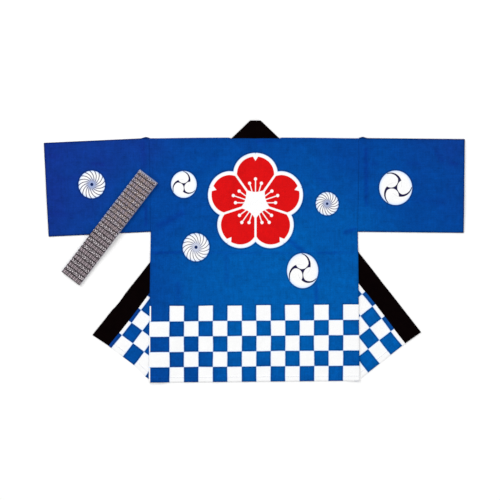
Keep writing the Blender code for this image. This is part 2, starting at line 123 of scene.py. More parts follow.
# The hem lies a little askew, and the left front's hem sags beside it.
HEM_LIFT = 0.0009
HEM_SLOPE = 0.0088
HEM_LIFT_RUN = 0.05
CORNER_LIFT_RUN = 0.018
FLAP_SAG = {-1: 0.0090, 1: 0.0}
SAG_RISES = 0.038
SAG_FALLS = (0.045, 0.055)
SAG_UP = 0.060

# How much lower than the shoulder each sleeve's cuff lies, and how far it leans inward
SLEEVE_DROP = {-1: 0.0155, 1: 0.0035}
# The upper wall's swell, in metres, grows over this share of the sleeve, and waves a little.
SLEEVE_LOFT = 0.0022
LOFT_RUN = 0.4
SHOULDER_BUMP = 0.0038
SHOULDER_BUMP_AT = 0.012
SHOULDER_BUMP_HALF = 0.016
SHOULDER_BUMP_FROM = 0.75
SLEEVE_WAVE = 0.0007
SLEEVE_WAVES_ALONG = 1.3
SLEEVE_WAVES_ACROSS = 0.6
BACK_WAVE = 0.00022
SMALL_WAVE = 0.00035
FLAP_WAVE_RUN = 0.03

PRESS_CREASE_Y = -0.005
PRESS_CREASE_HALF = 0.009
PRESS_CREASE_RISE = 0.0011

TOP_Y = (LENGTH + COLLAR_WIDTH) / 2
SHOULDER_Y = TOP_Y - COLLAR_WIDTH
HEM_Y = SHOULDER_Y - LENGTH
UNDERARM_Y = SHOULDER_Y - SLEEVE_DEPTH
CUFF_HALF = SPAN / 2
SLEEVE_RUN = CUFF_HALF - UNDERARM_HALF

GRID = 0.0045

# Creases in millimetres, as (from x, y, to x, y, half width, rise); the back's first four are its
# solid's own soft ridges
BACK_CREASES = (
    (-300, 85, -170, 160, 20, 1.6), (128, 45, 160, 0, 14, 1.4), (200, -95, 202, -200, 14, 1.1),
    (-90, -60, -88, -190, 16, 0.9), (-292, 60, -205, 105, 7, 0.7), (-255, -110, -248, -190, 10, 0.6),
    (262, 68, 312, 58, 9, 0.9), (290, 48, 325, 72, 7, 0.7), (118, 30, 148, -10, 6, 0.6),
    (40, -220, 52, -360, 16, 0.6), (-150, -250, -158, -380, 14, 0.6), (282, -150, 268, -330, 18, 0.7),
    (-120, 300, 20, 275, 20, 0.6), (100, 240, 235, 285, 18, 0.6),
)
SLEEVE_CREASES = {
    -1: ((-640, 262, -470, 252, 12, 0.9), (-660, 120, -610, 190, 14, 0.8), (-380, 100, -340, 190, 14, 0.7)),
    1: ((505, 300, 600, 345, 14, 0.9), (370, 110, 450, 190, 16, 0.9), (610, 110, 655, 200, 14, 0.7)),
}
# Painted shade along creases, in millimetres, as (from x, y, to x, y, half width) and how dark
BACK_CREASE_SHADE = (
    (-304, 84, -232, 122, 13, 0.75), (116, 34, 157, 0, 11, 1.00), (198, -108, 199, -163, 9, 0.90),
    (-90, -8, -88, -92, 12, 0.40), (-244, -106, -243, -152, 12, 0.50), (290, 61, 320, 72, 9, 0.90),
    (-322, -3, -236, -2, 6, 0.85), (-236, -2, 204, -4, 6, 0.45), (200, -4, 262, -3, 6, 0.80),
    (262, -3, 336, -1, 6, 0.35), (10, 352, 78, 357, 10, 0.55), (-170, 262, -128, 300, 18, 0.30),
    (196, 245, 236, 205, 18, 0.30),
)
SLEEVE_CREASE_SHADE = {
    -1: (
        (-357, 345, -352, 272, 13, 0.55), (-347, 146, -346, 88, 7, 0.80), (-516, 281, -484, 279, 9, 0.60),
        (-655, 308, -630, 304, 10, 0.45), (-664, 126, -585, 116, 14, 0.35), (-620, 232, -560, 236, 12, 0.30),
    ),
    1: (
        (357, 326, 358, 152, 9, 0.85), (630, 284, 646, 280, 10, 0.65), (494, 283, 524, 281, 10, 0.40),
        (582, 322, 598, 292, 11, 0.50), (378, 282, 392, 281, 9, 0.45), (520, 165, 600, 158, 16, 0.30),
    ),
}


# ---- heights and folds ----


def ease(t):
    """1 up to 0, falling smoothly to 0 at 1."""
    return 0.5 + 0.5 * np.cos(np.pi * np.clip(t, 0.0, 1.0))


def side_half(y):
    """Half of the back's width."""
    return np.interp(y, (HEM_Y, UNDERARM_Y, SHOULDER_Y), (HEM_HALF, UNDERARM_HALF, SHOULDER_HALF))


def hem_lift(x):
    """How far up the coat's hem lies from its straight line."""
    return HEM_LIFT + HEM_SLOPE * (x + HEM_HALF)


def strokes(rows):
    """Rows of creases or of strokes of painted crease shade as (from, to, half width, rise or darkness), the
    first three in metres.
    """
    return [(np.divide(r[:2], 1000), np.divide(r[2:4], 1000), r[4] / 1000, r[5]) for r in rows]


def crease_height(xy, creases):
    """The rise of straight soft creases over many points at once."""
    height = np.zeros(len(xy))
    for start, end, half, rise in strokes(creases):
        run = end - start
        share = np.clip((xy - start) @ run / (run @ run), 0.0, 1.0)
        aside = np.linalg.norm(xy - start - share[:, None] * run, axis=1)
        # A crease is sharpest in its middle and dies out at its ends.
        height += rise / 1000 * ease(aside / half) * (0.35 + 0.65 * np.sin(np.pi * share) ** 0.5)
    return height


class Line:
    """A line through a point, its direction an angle from straight down towards +X."""

    def __init__(self, point, angle):
        self.point = np.array(point, float)
        self.angle = angle
        self.along = np.array((math.sin(angle), -math.cos(angle)))
        self.across = np.array((math.cos(angle), math.sin(angle)))

    def off(self, xy):
        return (np.asarray(xy, float) - self.point) @ self.across

    def moved(self, distance):
        return Line(self.point + self.across * distance, self.angle)

    def mirrored(self, xy):
        xy = np.asarray(xy, float)
        return xy - 2 * self.off(xy)[..., None] * self.across

    def turned_over(self, other):
        here = other.mirrored(self.point)
        run = other.mirrored(self.point + self.along) - here
        return Line(here, math.atan2(run[0], -run[1]))

    def on_left(self):
        """The same line on the other side of x = 0."""
        return Line((-self.point[0], self.point[1]), -self.angle)


class Front:
    """The lines of one front on the side of +X, and the heights of what lies on it."""

    def __init__(self, nape, start, fold):
        corner = np.array((nape, TOP_Y))
        self.nape = nape
        self.nape_fold = Line(corner, (math.pi / 2 + FRONT_TILT) / 2)
        self.free_edge = Line(corner, FRONT_TILT)
        self.neck = nape + COLLAR_WIDTH * math.tan(self.nape_fold.angle)
        turn = corner + self.free_edge.along * start
        self.fold = Line(turn, fold)
        self.laid_edge = Line(turn, 2 * fold - FRONT_TILT)
        self.hem_run = (np.array((HEM_HALF, HEM_Y)) - corner) @ self.free_edge.along
        self.seam = self.free_edge.moved(COLLAR_WIDTH + SEAM)
        self.hem = Line((HEM_HALF, HEM_Y), math.pi / 2 + FRONT_TILT)

    def off_seam(self, xy, run):
        """1 up to the collar's seam, falling to 0 over that run into the front."""
        return ease((self.free_edge.off(xy) - COLLAR_WIDTH) / run)

    def under(self, xy):
        over_panel, over_collar = CLOTH + SEAM, COLLAR_CLOTH + SEAM
        off = self.laid_edge.off(xy)
        beyond = over_collar * ease(off / OFF_COLLAR_RUN)
        within = over_panel + (over_collar - over_panel) * ease((-off - COLLAR_WIDTH) / OFF_SEAM_RUN)
        return np.where(off > 0, beyond, within)

    def under_back(self, xy):
        in_collar = (COLLAR_CLOTH - CLOTH) * self.off_seam(xy, OFF_SEAM_RUN)
        height = self.under(xy) + CLOTH + in_collar + SEAM
        return height * ease(-self.fold.off(xy) / OFF_FOLD_RUN) ** OFF_FOLD_POWER


FRONTS = {side: Front(**data) for side, data in FRONT_DATA.items()}


def turn_scores(line):
    return [line.moved(FOLD_TAKES * (k / FOLD_STEPS - 0.5)) for k in range(FOLD_STEPS + 1)]


def folded(line, xy, upper, lower, offset):
    """Points of cloth folded under along a line, from the height upper to the height lower.

    offset is each point's height above the middle of the cloth before it is turned.
    """
    aside = line.off(xy)
    half_turn = FOLD_TAKES / 2
    turn = np.pi * np.clip((half_turn - aside) / FOLD_TAKES, 0.0, 1.0)
    radius = (upper - lower) / 2
    out = np.maximum(np.abs(aside), half_turn) - (radius + offset) * np.sin(turn)
    place = xy + (out - aside)[:, None] * line.across
    return np.c_[place, (upper + lower) / 2 + (radius + offset) * np.cos(turn)]


# ---- flat cuts and closed sheets ----


def steps(low, high, size):
    return np.linspace(low, high, max(2, round((high - low) / size) + 1))


def distances(points):
    """How far along their path points lie."""
    return np.concatenate([[0], np.cumsum(np.linalg.norm(np.diff(points, axis=0), axis=1))])


def flat_cut(xs, ys, trims=(), scores=(), shape=None):
    """(points, faces, rim) of a grid, cut off on the minus side of trims and scored along scores."""
    bm = bmesh.new()
    rows = [[bm.verts.new((x, y, 0.0)) for x in xs] for y in ys]
    for low, high in zip(rows, rows[1:]):
        for k in range(len(xs) - 1):
            bm.faces.new((low[k], low[k + 1], high[k + 1], high[k]))
    if shape:
        for vert in bm.verts:
            vert.co.x, vert.co.y = shape(vert.co.x, vert.co.y)
    for line in (*trims, *scores):
        every = [*bm.verts, *bm.edges, *bm.faces]
        spot, way = (*line.point, 0), (*line.across, 0)
        clear = line in trims
        bmesh.ops.bisect_plane(bm, geom=every, dist=5e-5, plane_co=spot, plane_no=way, clear_inner=clear)
    bmesh.ops.triangulate(bm, faces=[f for f in bm.faces if len(f.verts) > 4])
    bm.verts.index_update()
    points = np.array([v.co[:2] for v in bm.verts])
    faces = [[v.index for v in f.verts] for f in bm.faces]
    loops = [edge.link_loops[0] for edge in bm.edges if edge.is_boundary]
    rim = [(loop.vert.index, loop.link_loop_next.vert.index) for loop in loops]
    bm.free()
    return points, faces, rim


def add_object(name, data):
    obj = bpy.data.objects.new(name, data)
    bpy.context.scene.collection.objects.link(obj)
    return obj


def mesh_object(name, points, faces, corner_uv, material, edge_shade_and_wear=None):
    """A smooth mesh object with a UV place for each face corner."""
    mesh = bpy.data.meshes.new(name)
    mesh.from_pydata(points, [], faces)
    uv = mesh.uv_layers.new(name="cloth")
    uv.data.foreach_set("uv", np.asarray(corner_uv, np.float32).ravel())
    # The painted shade near the cloth's edges goes with the mesh as a point attribute.
    if edge_shade_and_wear is not None:
        layer = mesh.attributes.new("edge_shade_and_wear", "FLOAT", "POINT")
        layer.data.foreach_set("value", np.asarray(edge_shade_and_wear, np.float32))
    mesh.materials.append(material)
    mesh.shade_smooth()
    return add_object(name, mesh)


def rim_outward(points, rim):
    """For each rim point, the way out of the flat cut."""
    out = np.zeros_like(points)
    for edge in rim:
        x, y = points[edge[1]] - points[edge[0]]
        for end in edge:
            out[end] += np.array((y, -x)) / (math.hypot(x, y) + 1e-12)
    return out / (np.linalg.norm(out, axis=1, keepdims=True) + 1e-12)


def rim_shade_and_wear(points, rim, sewn):
    """Painted shade and wear near the cut's edge: 1 at the edge, falling off over the reach set above, and
    less where sewn(middles) says that it is sewn.
    """
    middles = np.array([(points[a] + points[b]) / 2 for a, b in rim])
    edge_shade_share = np.where(sewn(middles), SEWN_SHADE_AND_WEAR, 1.0)
    edge_shade_and_wear = np.zeros(len(points))
    for start in range(0, len(middles), 200):
        part = slice(start, start + 200)
        near = np.linalg.norm(points[:, None] - middles[None, part], axis=2)
        edge_shade_and_wear = np.maximum(edge_shade_and_wear, (np.exp(-near / SHADE_AND_WEAR_REACH) * edge_shade_share[part]).max(axis=1))
    return edge_shade_and_wear


def sheet_object(name, cut, thickness, place, to_uv, material, sewn):
    """A closed sheet of cloth with rounded edges from a flat cut.

    place(xy, h) gives where points h above the lower face of the flat cloth go, and sewn(xy) which
    places of its edge are sewn to another piece.
    """
    flat, faces, rim = cut
    count = len(flat)
    rim_points = sorted({i for edge in rim for i in edge})
    at = {i: 2 * count + k for k, i in enumerate(rim_points)}
    middle = (flat + EDGE_BULGE * rim_outward(flat, rim))[rim_points]
    points = np.vstack([place(flat, 0.0), place(flat, thickness), place(middle, thickness / 2)])
    every = [face[::-1] for face in faces] + [[i + count for i in face] for face in faces]
    for a, b in rim:
        every += [[a, b, at[b], at[a]], [at[a], at[b], b + count, a + count]]
    # Both faces and the rim between them take the same places in the print and the same painted edge shade
    # and wear.
    origin = np.concatenate([range(count), range(count), rim_points])
    corners = origin[[i for face in every for i in face]]
    edge_shade_and_wear = rim_shade_and_wear(flat, rim, sewn)[origin]
    return mesh_object(name, points, every, to_uv(flat)[corners], material, edge_shade_and_wear)


def tube(name, rings, places, material, edge_shade_and_wear, way=1, capped=False):
    """An object whose skin runs from each closed ring of points to the next, and from the last to the first.

    places are the rings' UVs, one more for each ring than it has points. A capped tube doesn't close
    on its first ring, and has its two ends filled.
    """
    around, count = len(rings[0]), len(rings)
    faces, corner_uv = [], []
    for k in range(count - capped):
        for i in range(around):
            corners = [(k, i), (k + 1, i), (k + 1, i + 1), (k, i + 1)][::way]
            faces.append([a % count * around + b % around for a, b in corners])
            corner_uv += [places[a % count][b] for a, b in corners]
    for k, turn in ((0, 1), (count - 1, -1)) if capped else ():
        faces.append([k * around + i for i in range(around)][::turn])
        corner_uv += places[k][:around][::turn]
    return mesh_object(name, np.concatenate(rings), faces, corner_uv, material, edge_shade_and_wear)


# ---- the materials' arithmetic ----


def put(tree, slot, item):
    """Links a value or a socket to an input, or sets a constant on it."""
    if isinstance(item, (Value, bpy.types.NodeSocket)):
        tree.links.new(getattr(item, "socket", item), slot)
    else:
        slot.default_value = item


def add_node(tree, kind, inputs, output=0, **settings):
    """Adds a shader node, sets it up and gives one of its outputs."""
    node = tree.nodes.new("ShaderNode" + kind)
    for name, setting in settings.items():
        setattr(node, name, setting)
    for slot, item in inputs.items():
        put(tree, node.inputs[slot], item)
    return node.outputs[output]


class Value:
    """A number that varies over a surface, with arithmetic that builds the nodes for it."""

    def __init__(self, tree, socket):
        self.tree = tree
        self.socket = socket

    def made(self, operation, *others):
        inputs = dict(enumerate((self, *others)))
        return Value(self.tree, add_node(self.tree, "Math", inputs, operation=operation))

    __add__ = __radd__ = partialmethod(made, "ADD")
    __sub__ = partialmethod(made, "SUBTRACT")
    __mul__ = __rmul__ = partialmethod(made, "MULTIPLY")
    __truediv__ = partialmethod(made, "DIVIDE")
    least = partialmethod(made, "MINIMUM")
    most = partialmethod(made, "MAXIMUM")
    above = partialmethod(made, "GREATER_THAN")
    size = partialmethod(made, "ABSOLUTE")
    sine = partialmethod(made, "SINE")
    cosine = partialmethod(made, "COSINE")

    def __rsub__(self, other):
        return self * -1.0 + other

    def wrapped(self, low, high):
        return self.made("WRAP", high, low)

    def wave(self, length):
        """The sine of a distance that goes round once in that length."""
        return (self * (math.tau / length)).sine()

    def ramp(self, low, high):
        """0 at low, 1 at high, smooth between them; low may be the greater."""
        inputs = {"Value": self, "From Min": low, "From Max": high}
        smooth = {"interpolation_type": "SMOOTHSTEP"}
        return Value(self.tree, add_node(self.tree, "MapRange", inputs, "Result", **smooth))

    def inside(self, soft=0.0004):
        """1 where a distance is negative."""
        return self.ramp(soft, -soft)


def away(x, y):
    return (x * x + y * y).made("SQRT")


class Cloth:
    """One cloth material being built: its tree, its flat coordinates and its layers of colour."""

    def __init__(self, name, roughness, sheen, tint, gloss=0.16):
        self.material = bpy.data.materials.new(name)
        self.material.use_nodes = True
        self.tree = self.material.node_tree
        self.shader = self.tree.nodes["Principled BSDF"]
        constants = {"Roughness": roughness, "Specular IOR Level": gloss, "Specular Tint": tint}
        constants |= {"Sheen Weight": sheen, "Sheen Roughness": 0.45, "Sheen Tint": tint}
        for slot, constant in constants.items():
            self.shader.inputs[slot].default_value = constant
        where = {0: self.add("UVMap", {}, uv_map="cloth")}
        self.u, self.v = (Value(self.tree, self.add("SeparateXYZ", where, axis)) for axis in (0, 1))
        self.edge_shade_and_wear = Value(self.tree, self.add("Attribute", {}, "Fac", attribute_name="edge_shade_and_wear"))

    def add(self, *arguments, **settings):
        return add_node(self.tree, *arguments, **settings)

    def noise(self, across, along, detail=2.0, shift=0.0):
        """Noise of about that size in metres along u and v, 0 to 1."""
        place = self.add("CombineXYZ", {0: self.u * (1 / across), 1: self.v * (1 / along), 2: shift})
        inputs = {"Scale": 1.0, "Detail": detail, "Vector": place}
        return Value(self.tree, self.add("TexNoise", inputs, "Fac"))

    def stray(self, across, along, reach, shift=0.0, detail=2.0):
        """Noise about 0, between minus and plus half of the reach."""
        return (self.noise(across, along, detail, shift) - 0.5) * reach

    def mix(self, share, first, second, blend="MIX"):
        return self.add("Mix", {0: share, 6: first, 7: second}, 2, data_type="RGBA", blend_type=blend)

    def shaded(self, colour, amount):
        """A colour times a number."""
        colour = colour[:3] if isinstance(colour, tuple) else colour
        return self.add("VectorMath", {0: colour, "Scale": amount}, operation="SCALE")

    def weave(self, pitch):
        """A plain weave: 0 in its gaps, 1 on the tops of its threads."""
        return self.u.wave(pitch) * self.v.wave(pitch) * 0.5 + 0.5

    def slub(self, width, length):
        """Uneven threads both ways, 0 to 1."""
        return self.noise(width, length) * 0.5 + self.noise(length, width, shift=3.0) * 0.5

    def finished(self, colour, height, strength, distance):
        """Connects the colour and the relief, a height from 0 to 1 of that distance."""
        inputs = {"Strength": strength, "Distance": distance, "Height": height}
        put(self.tree, self.shader.inputs["Base Color"], colour)
        put(self.tree, self.shader.inputs["Normal"], self.add("Bump", inputs, "Normal"))
        return self.material


def srgb(*levels):
    """An 8-bit colour as a linear one."""
    linear = [((c / 255 + 0.055) / 1.055) ** 2.4 if c > 10 else c / 255 / 12.92 for c in levels]
    return (*linear, 1.0)


# ---- the print ----

EDGE = 0.012  # how soft the discs' and commas' edges are, as a share of their radius
THIN_EDGE = 0.004
# The commas of a tomoe: how far out their heads are, the heads' radius, their bodies' centre and radius
HEAD_OUT = 0.53
HEAD_RADIUS = 0.432
BODY_CENTRE = (0.344, 0.127)
BODY_RADIUS = 0.669
BLADES = 17
BLADE_LEAN = math.radians(54)
SCALLOP = 0.022
DOT_RADIUS = 0.122
# The blossom: its petals' centres and radius, its white border, its ring and its stamens as (lean, reach)
PETAL_OUT = 0.60
PETAL_RADIUS = 0.37
BORDER = 0.075
RING_RADIUS = 0.20
STAMENS = ((0.0, 0.50), (0.30, 0.43))


def round_motif(x, y, centre, radius, tall):
    """(share of the radius from the centre, angle) of a motif that is taller than it is wide."""
    x, y = (x - centre[0]) / radius, (y - centre[1]) / (radius * tall)
    return away(x, y), y.made("ARCTAN2", x)


def tomoe(x, y, centre, radius, tall, turn):
    """Three commas in a ring: ((1 in the ring's disc, 1 in their white), metres outside the ring)."""
    rho, angle = round_motif(x, y, centre, radius, tall)
    third = -math.tau / 3
    angle = (angle - math.radians(turn)).wrapped(third, 0.0)
    qx, qy = rho * angle.cosine(), rho * angle.sine()
    head = away(qx - HEAD_OUT, qy) - HEAD_RADIUS
    next_head = away(qx - HEAD_OUT * math.cos(third), qy - HEAD_OUT * math.sin(third)) - HEAD_RADIUS
    inside_body = BODY_RADIUS - away(qx - BODY_CENTRE[0], qy - BODY_CENTRE[1])
    comma = head.least(next_head).least(inside_body)
    # A thin tail of ink runs along the next comma's back to the rim.
    tail = (0.042 - angle * 0.118) * angle.ramp(-1.2, -1.0)
    comma = comma.most(inside_body.least(tail - inside_body))
    disc = (rho - 1.0).inside(EDGE)
    return (disc, comma.inside(EDGE) * disc), (rho - 1.0) * radius


def swirl(x, y, centre, radius, tall, turn, shade, line):
    """A wheel of curved blades: ((1 in its disc, lines, pale middle, dot), metres outside it)."""
    rho, angle = round_motif(x, y, centre, radius, tall)
    blade = math.tau / BLADES
    angle = angle - math.radians(turn) - rho * BLADE_LEAN
    part = (angle / blade).wrapped(-0.5, 0.5).size()
    disc = (rho - 1.0 - ((part * math.pi).sine() * SCALLOP - SCALLOP)).inside(EDGE)
    lines = (part * rho * blade / (rho * 0.65 + 0.35)).ramp(line, line * 0.45) * rho.ramp(0.16, 0.36)
    middle = rho.ramp(0.62, 0.16) * shade
    dot = (rho - DOT_RADIUS).inside(0.02)
    return (disc, lines * disc, middle * disc, dot), (rho - 1.0) * radius


def blossom(x, y, centre, radius, tall):
    """A five-petal blossom: ((1 in its white ground, 1 in its red), metres outside the ground)."""
    rho, angle = round_motif(x, y, centre, radius, tall)
    fifth = math.pi / 5
    angle = (angle - math.pi / 2).wrapped(-fifth, fifth)
    qx, qy = rho * angle.cosine(), (rho * angle.sine()).size()
    petal = away(qx - PETAL_OUT, qy * 0.93) - PETAL_RADIUS
    notch = (qx - 0.88) * 0.80 - qy * 1.25
    petal = petal.most(notch * 0.62)
    outside = (petal - BORDER).least(rho - 0.42)
    # Distance to the line between two petals
    slit = 0.022 - (qx * math.sin(fifth) - qy * math.cos(fifth))
    red = petal.most(slit).inside(THIN_EDGE)
    bare = ((rho - RING_RADIUS).size() - 0.026).inside(THIN_EDGE)
    for lean, reach in STAMENS:
        dx, dy = math.cos(lean), math.sin(lean)
        along = qx * dx + qy * dy
        stem = ((qy * dx - qx * dy).size() - 0.011).most((along - reach).most(0.22 - along))
        tip = away(qx - reach * dx, qy - reach * dy) - 0.034
        bare = bare.most(stem.least(tip).inside(THIN_EDGE))
    return (outside.inside(THIN_EDGE), red * (1.0 - bare)), outside * radius


def checks(x, y, columns, rows, flip, slope=0.0):
    """White checks from (first line, pitch, count) and the rows' lines, lowest first.

    Gives (1 in the white, metres from a blue place to the nearest white).
    """
    line, pitch, count = columns
    y = y - (x - line) * slope
    column = ((x - line) / pitch).most(-0.5).least(count - 1.5)
    side = (column * math.pi).sine() * (pitch / math.pi * (1.0 if flip else -1.0))
    sign = side * 0.0 + 1.0
    near = side.size()
    for edge in rows[1:-1]:
        sign = sign * (y - edge).ramp(-0.0005, 0.0005).made("MULTIPLY_ADD", -2.0, 1.0)
        near = near.least((y - edge).size())
    above = y - rows[-1]
    near = near + ((side * -1.0).most(above) - near) * above.above(0.0)
    return (side * sign).ramp(-0.0005, 0.0005) * above.inside(0.0005), near


# Motifs as (kind, centre, radius, height over width), then the turn of a tomoe or swirl in degrees, and
# how blue a swirl's middle is and how wide its lines are
BACK_MOTIFS = (
    (tomoe, (-0.2251, 0.2152), 0.0408, 1.05, 94),
    (tomoe, (0.1547, -0.0606), 0.0497, 1.12, 94),
    (swirl, (0.2331, 0.1536), 0.0364, 1.02, -14.4, 0.85, 0.062),
    (swirl, (-0.1861, 0.0144), 0.0427, 1.055, -18.1, 0.58, 0.052),
    (blossom, (0.0040, 0.1560), 0.149, 1.03),
)
SLEEVE_MOTIFS = {
    -1: (swirl, (-0.5190, 0.2150), 0.0424, 1.04, -18.1, 0.92, 0.066),
    1: (tomoe, (0.4521, 0.2045), 0.0523, 1.05, 3),
}
BACK_CHECKS = {
    "columns": (-0.2709, 0.04624, 14),
    "rows": (HEM_Y, -0.3693, -0.3206, -0.2714, -0.2230, -0.1738),
    "flip": 1,
    "slope": 0.0085,
}
# The print of the back ends just short of its left selvedge beside the top row of checks.
BARE_SELVEDGE_X = -0.3300
BARE_EDGE_X = -0.3327
FLAP_CHECKS = {
    -1: {"columns": (0.0110, 0.0450, 8), "rows": (0.0, 0.0535, 0.1035, 0.1538, 0.2035, 0.2530), "flip": 1},
    1: {"columns": (0.0125, 0.0457, 8), "rows": (0.0, 0.0590, 0.1088, 0.1575, 0.2090, 0.2580), "flip": 0},
}
# How far the fronts' blue goes to violet, and how much violet painted shade lies along the collar's seam
FLAP_TONE = {-1: 0.40, 1: 0.16}
FLAP_SEAM_SHADE = {-1: 0.45, 1: 0.40}

BLUE = srgb(0, 88, 166)
DEEP_BLUE = srgb(2, 64, 145)
VIOLET_BLUE = srgb(17, 44, 130)
INK = srgb(26, 18, 62)
LINE_INK = srgb(52, 42, 76)
DOT_INK = srgb(13, 32, 82)
BLEED = srgb(196, 220, 255)
CREASE_SHADE_TINT = (1.0, 0.72, 0.90, 1.0)
PALE_BLUE = srgb(144, 161, 206)
WHITE = srgb(246, 246, 246)
RED = srgb(213, 12, 3)
BLUE_SHEEN = (0.12, 0.40, 1.0, 1.0)
# The blue is brightest about here, and turns darker and more violet away from it.
BRIGHT_PLACE = (0.10, -0.15)


def off_segment(x, y, start, end):
    """Metres to a straight stretch."""
    run_x, run_y = end - start
    dx, dy = x - start[0], y - start[1]
    share = (dx * run_x + dy * run_y) * (1 / (run_x**2 + run_y**2))
    share = share.most(0.0).least(1.0)
    return away(dx - share * run_x, dy - share * run_y)


def painted_crease_shade(cloth, marks):
    """How much painted shade lies along the creases, from 0 to about 1."""
    x = cloth.u + cloth.stray(0.018, 0.018, 0.010, 14.0)
    y = cloth.v + cloth.stray(0.018, 0.018, 0.010, 15.0)
    total = cloth.u * 0.0
    for start, end, half, dark in strokes(marks):
        total = total.most(off_segment(x, y, start, end).ramp(half * 1.35, 0.0) * dark)
    return total * (cloth.noise(0.010, 0.010, shift=16.0) * 0.8 + 0.6)


def blue_ground(cloth, tone, crease):
    """The blue ground of a piece: by its place on the laid-out coat, or of one even tone."""
    far = away(cloth.u - BRIGHT_PLACE[0], cloth.v - BRIGHT_PLACE[1]) - cloth.u * 0.08
    far = far.least(0.95) if tone is None else cloth.u * 0.0 + tone
    # Painted crease shade also turns the blue a little towards violet.
    far = far + cloth.stray(0.15, 0.19, 0.34) + crease * 0.05
    base = cloth.mix(far.ramp(0.06, 0.56), BLUE, DEEP_BLUE)
    return cloth.mix(far.ramp(0.48, 0.98), base, VIOLET_BLUE)


def printed_cotton(name, motifs=(), band=None, tone=None, bare_selvedge=False, marks=(), seam_shade=0.0):
    """Blue cotton with its print: motifs as their drawing and its data, and band as the checks' keywords.

    seam_shade is how much violet painted shade lies along the collar's seam, where u is 0.
    """
    cloth = Cloth(name, 0.88, 0.06, BLUE_SHEEN)
    u, v, noise, stray, mix, shaded = cloth.u, cloth.v, cloth.noise, cloth.stray, cloth.mix, cloth.shaded
    # The print's edges wander a little, as ink does along threads and from a hand-set stencil.
    wander = stray(0.006, 0.006, 0.0009)
    x = u + wander + stray(0.09, 0.11, 0.0045, 5.0)
    y = v + wander + stray(0.11, 0.09, 0.0035, 6.0)
    streaks = (noise(0.0033, 0.085) + noise(0.075, 0.0031, shift=4.0)) * 0.5
    slub = (noise(0.0014, 0.060, shift=2.0) + noise(0.050, 0.0013, shift=3.0)) * 0.5
    uneven = (streaks - 0.5) * 0.62 + (slub - 0.5) * 0.25 + stray(0.0048, 0.0042, 0.52, 10.0)
    uneven = uneven + stray(0.014, 0.017, 0.50, 7.0, 4.0) + stray(0.050, 0.038, 0.48, 8.0, 3.0)
    crease = painted_crease_shade(cloth, marks)
    # Painted shade darkens the blue along creases, most in its green.
    base = mix(crease, shaded(blue_ground(cloth, tone, crease), uneven + 1.0), CREASE_SHADE_TINT, "MULTIPLY")
    # Painted shade beside the collar's seam.
    base = mix(u.ramp(0.020, 0.002) * seam_shade, base, VIOLET_BLUE)
    # Painted shade darkens the blue, and a little the white, near the cloth's edges and seams.
    base = shaded(base, 1.0 - cloth.edge_shade_and_wear * 0.62)
    paper = shaded(WHITE, uneven * 0.08 + 0.998 - cloth.edge_shade_and_wear * 0.03)
    white, near = checks(x, y, **band) if band else (u * 0.0, u * 0.0 + 1.0)
    if bare_selvedge:
        top_row = (v - band["rows"][-2]).above(0.0)
        edge = BARE_EDGE_X + top_row * (BARE_SELVEDGE_X - BARE_EDGE_X)
        white = white.most((u - edge).inside() * (v - band["rows"][-1]).inside())
    drawn = {}
    for draw, *data in motifs:
        found, outside = draw(u + wander, v + wander, *data)
        drawn[draw] = [a.most(b) for a, b in zip(drawn.get(draw, found), found)]
        near = near.least(outside.size())
    if blossom in drawn:
        white = white.most(drawn[blossom][0])
    # Ink pools where it meets the bare cloth, and bleeds a little into it.
    colour = shaded(base, 1.0 - near.ramp(0.0066, 0.0026) * 0.32)
    paper = mix(near.ramp(0.0032, 0.0008) * 0.85, paper, BLEED)
    colour = mix(white, colour, paper)
    paper = mix(near.ramp(0.0095, 0.0015) * 0.42, paper, BLEED)
    if tomoe in drawn:
        disc, commas = drawn[tomoe]
        colour = mix(commas, mix(disc, colour, shaded(INK, uneven + 1.0)), paper)
    if swirl in drawn:
        disc, lines, middle, dot = drawn[swirl]
        colour = mix(middle, mix(disc, colour, paper), PALE_BLUE)
        colour = mix(dot, mix(lines * 0.90, colour, LINE_INK), DOT_INK)
    if blossom in drawn:
        colour = mix(drawn[blossom][1], colour, shaded(RED, uneven * 0.5 + 1.0))
    weave = cloth.weave(0.0011)
    # Painted shade in the weave's gaps and painted highlight on its threads' tops, following its relief.
    colour = shaded(colour, (weave - 0.5) * 0.14 + 1.0)
    height = weave * 0.20 + slub * 0.45 + streaks * 0.35 + noise(0.030, 0.022, 3.0, 11.0) * 1.8
    return cloth.finished(colour, height, 0.6, 0.0011)


def collar_cotton():
    cloth = Cloth("collar_cloth_look", 0.90, 0.0, (1.0, 0.35, 0.5, 1.0), gloss=0.03)
    slub = cloth.slub(0.0016, 0.050)
    # The black is paler towards its edges.
    tone = (slub - 0.5) * 1.4 + cloth.stray(0.020, 0.020, 1.2, 5.0, 4.0) + 1.0 + cloth.edge_shade_and_wear * 0.3
    wrinkle = cloth.noise(0.045, 0.016, 3.0, 9.0)
    height = cloth.weave(0.0010) * 0.2 + slub * 0.5 + wrinkle * 1.6
    return cloth.finished(cloth.shaded((0.0014, 0.0006, 0.0006, 1.0), tone), height, 0.6, 0.0010)


BELT_WIDTH = 0.070
# From one row of dots to the next, and the places of one row and of a fold, along the strip from the
# middle of its top layer
BELT_BAND = 0.014694
BELT_LINE_AT = -0.0148
BELT_FOLD_AT = -0.2057


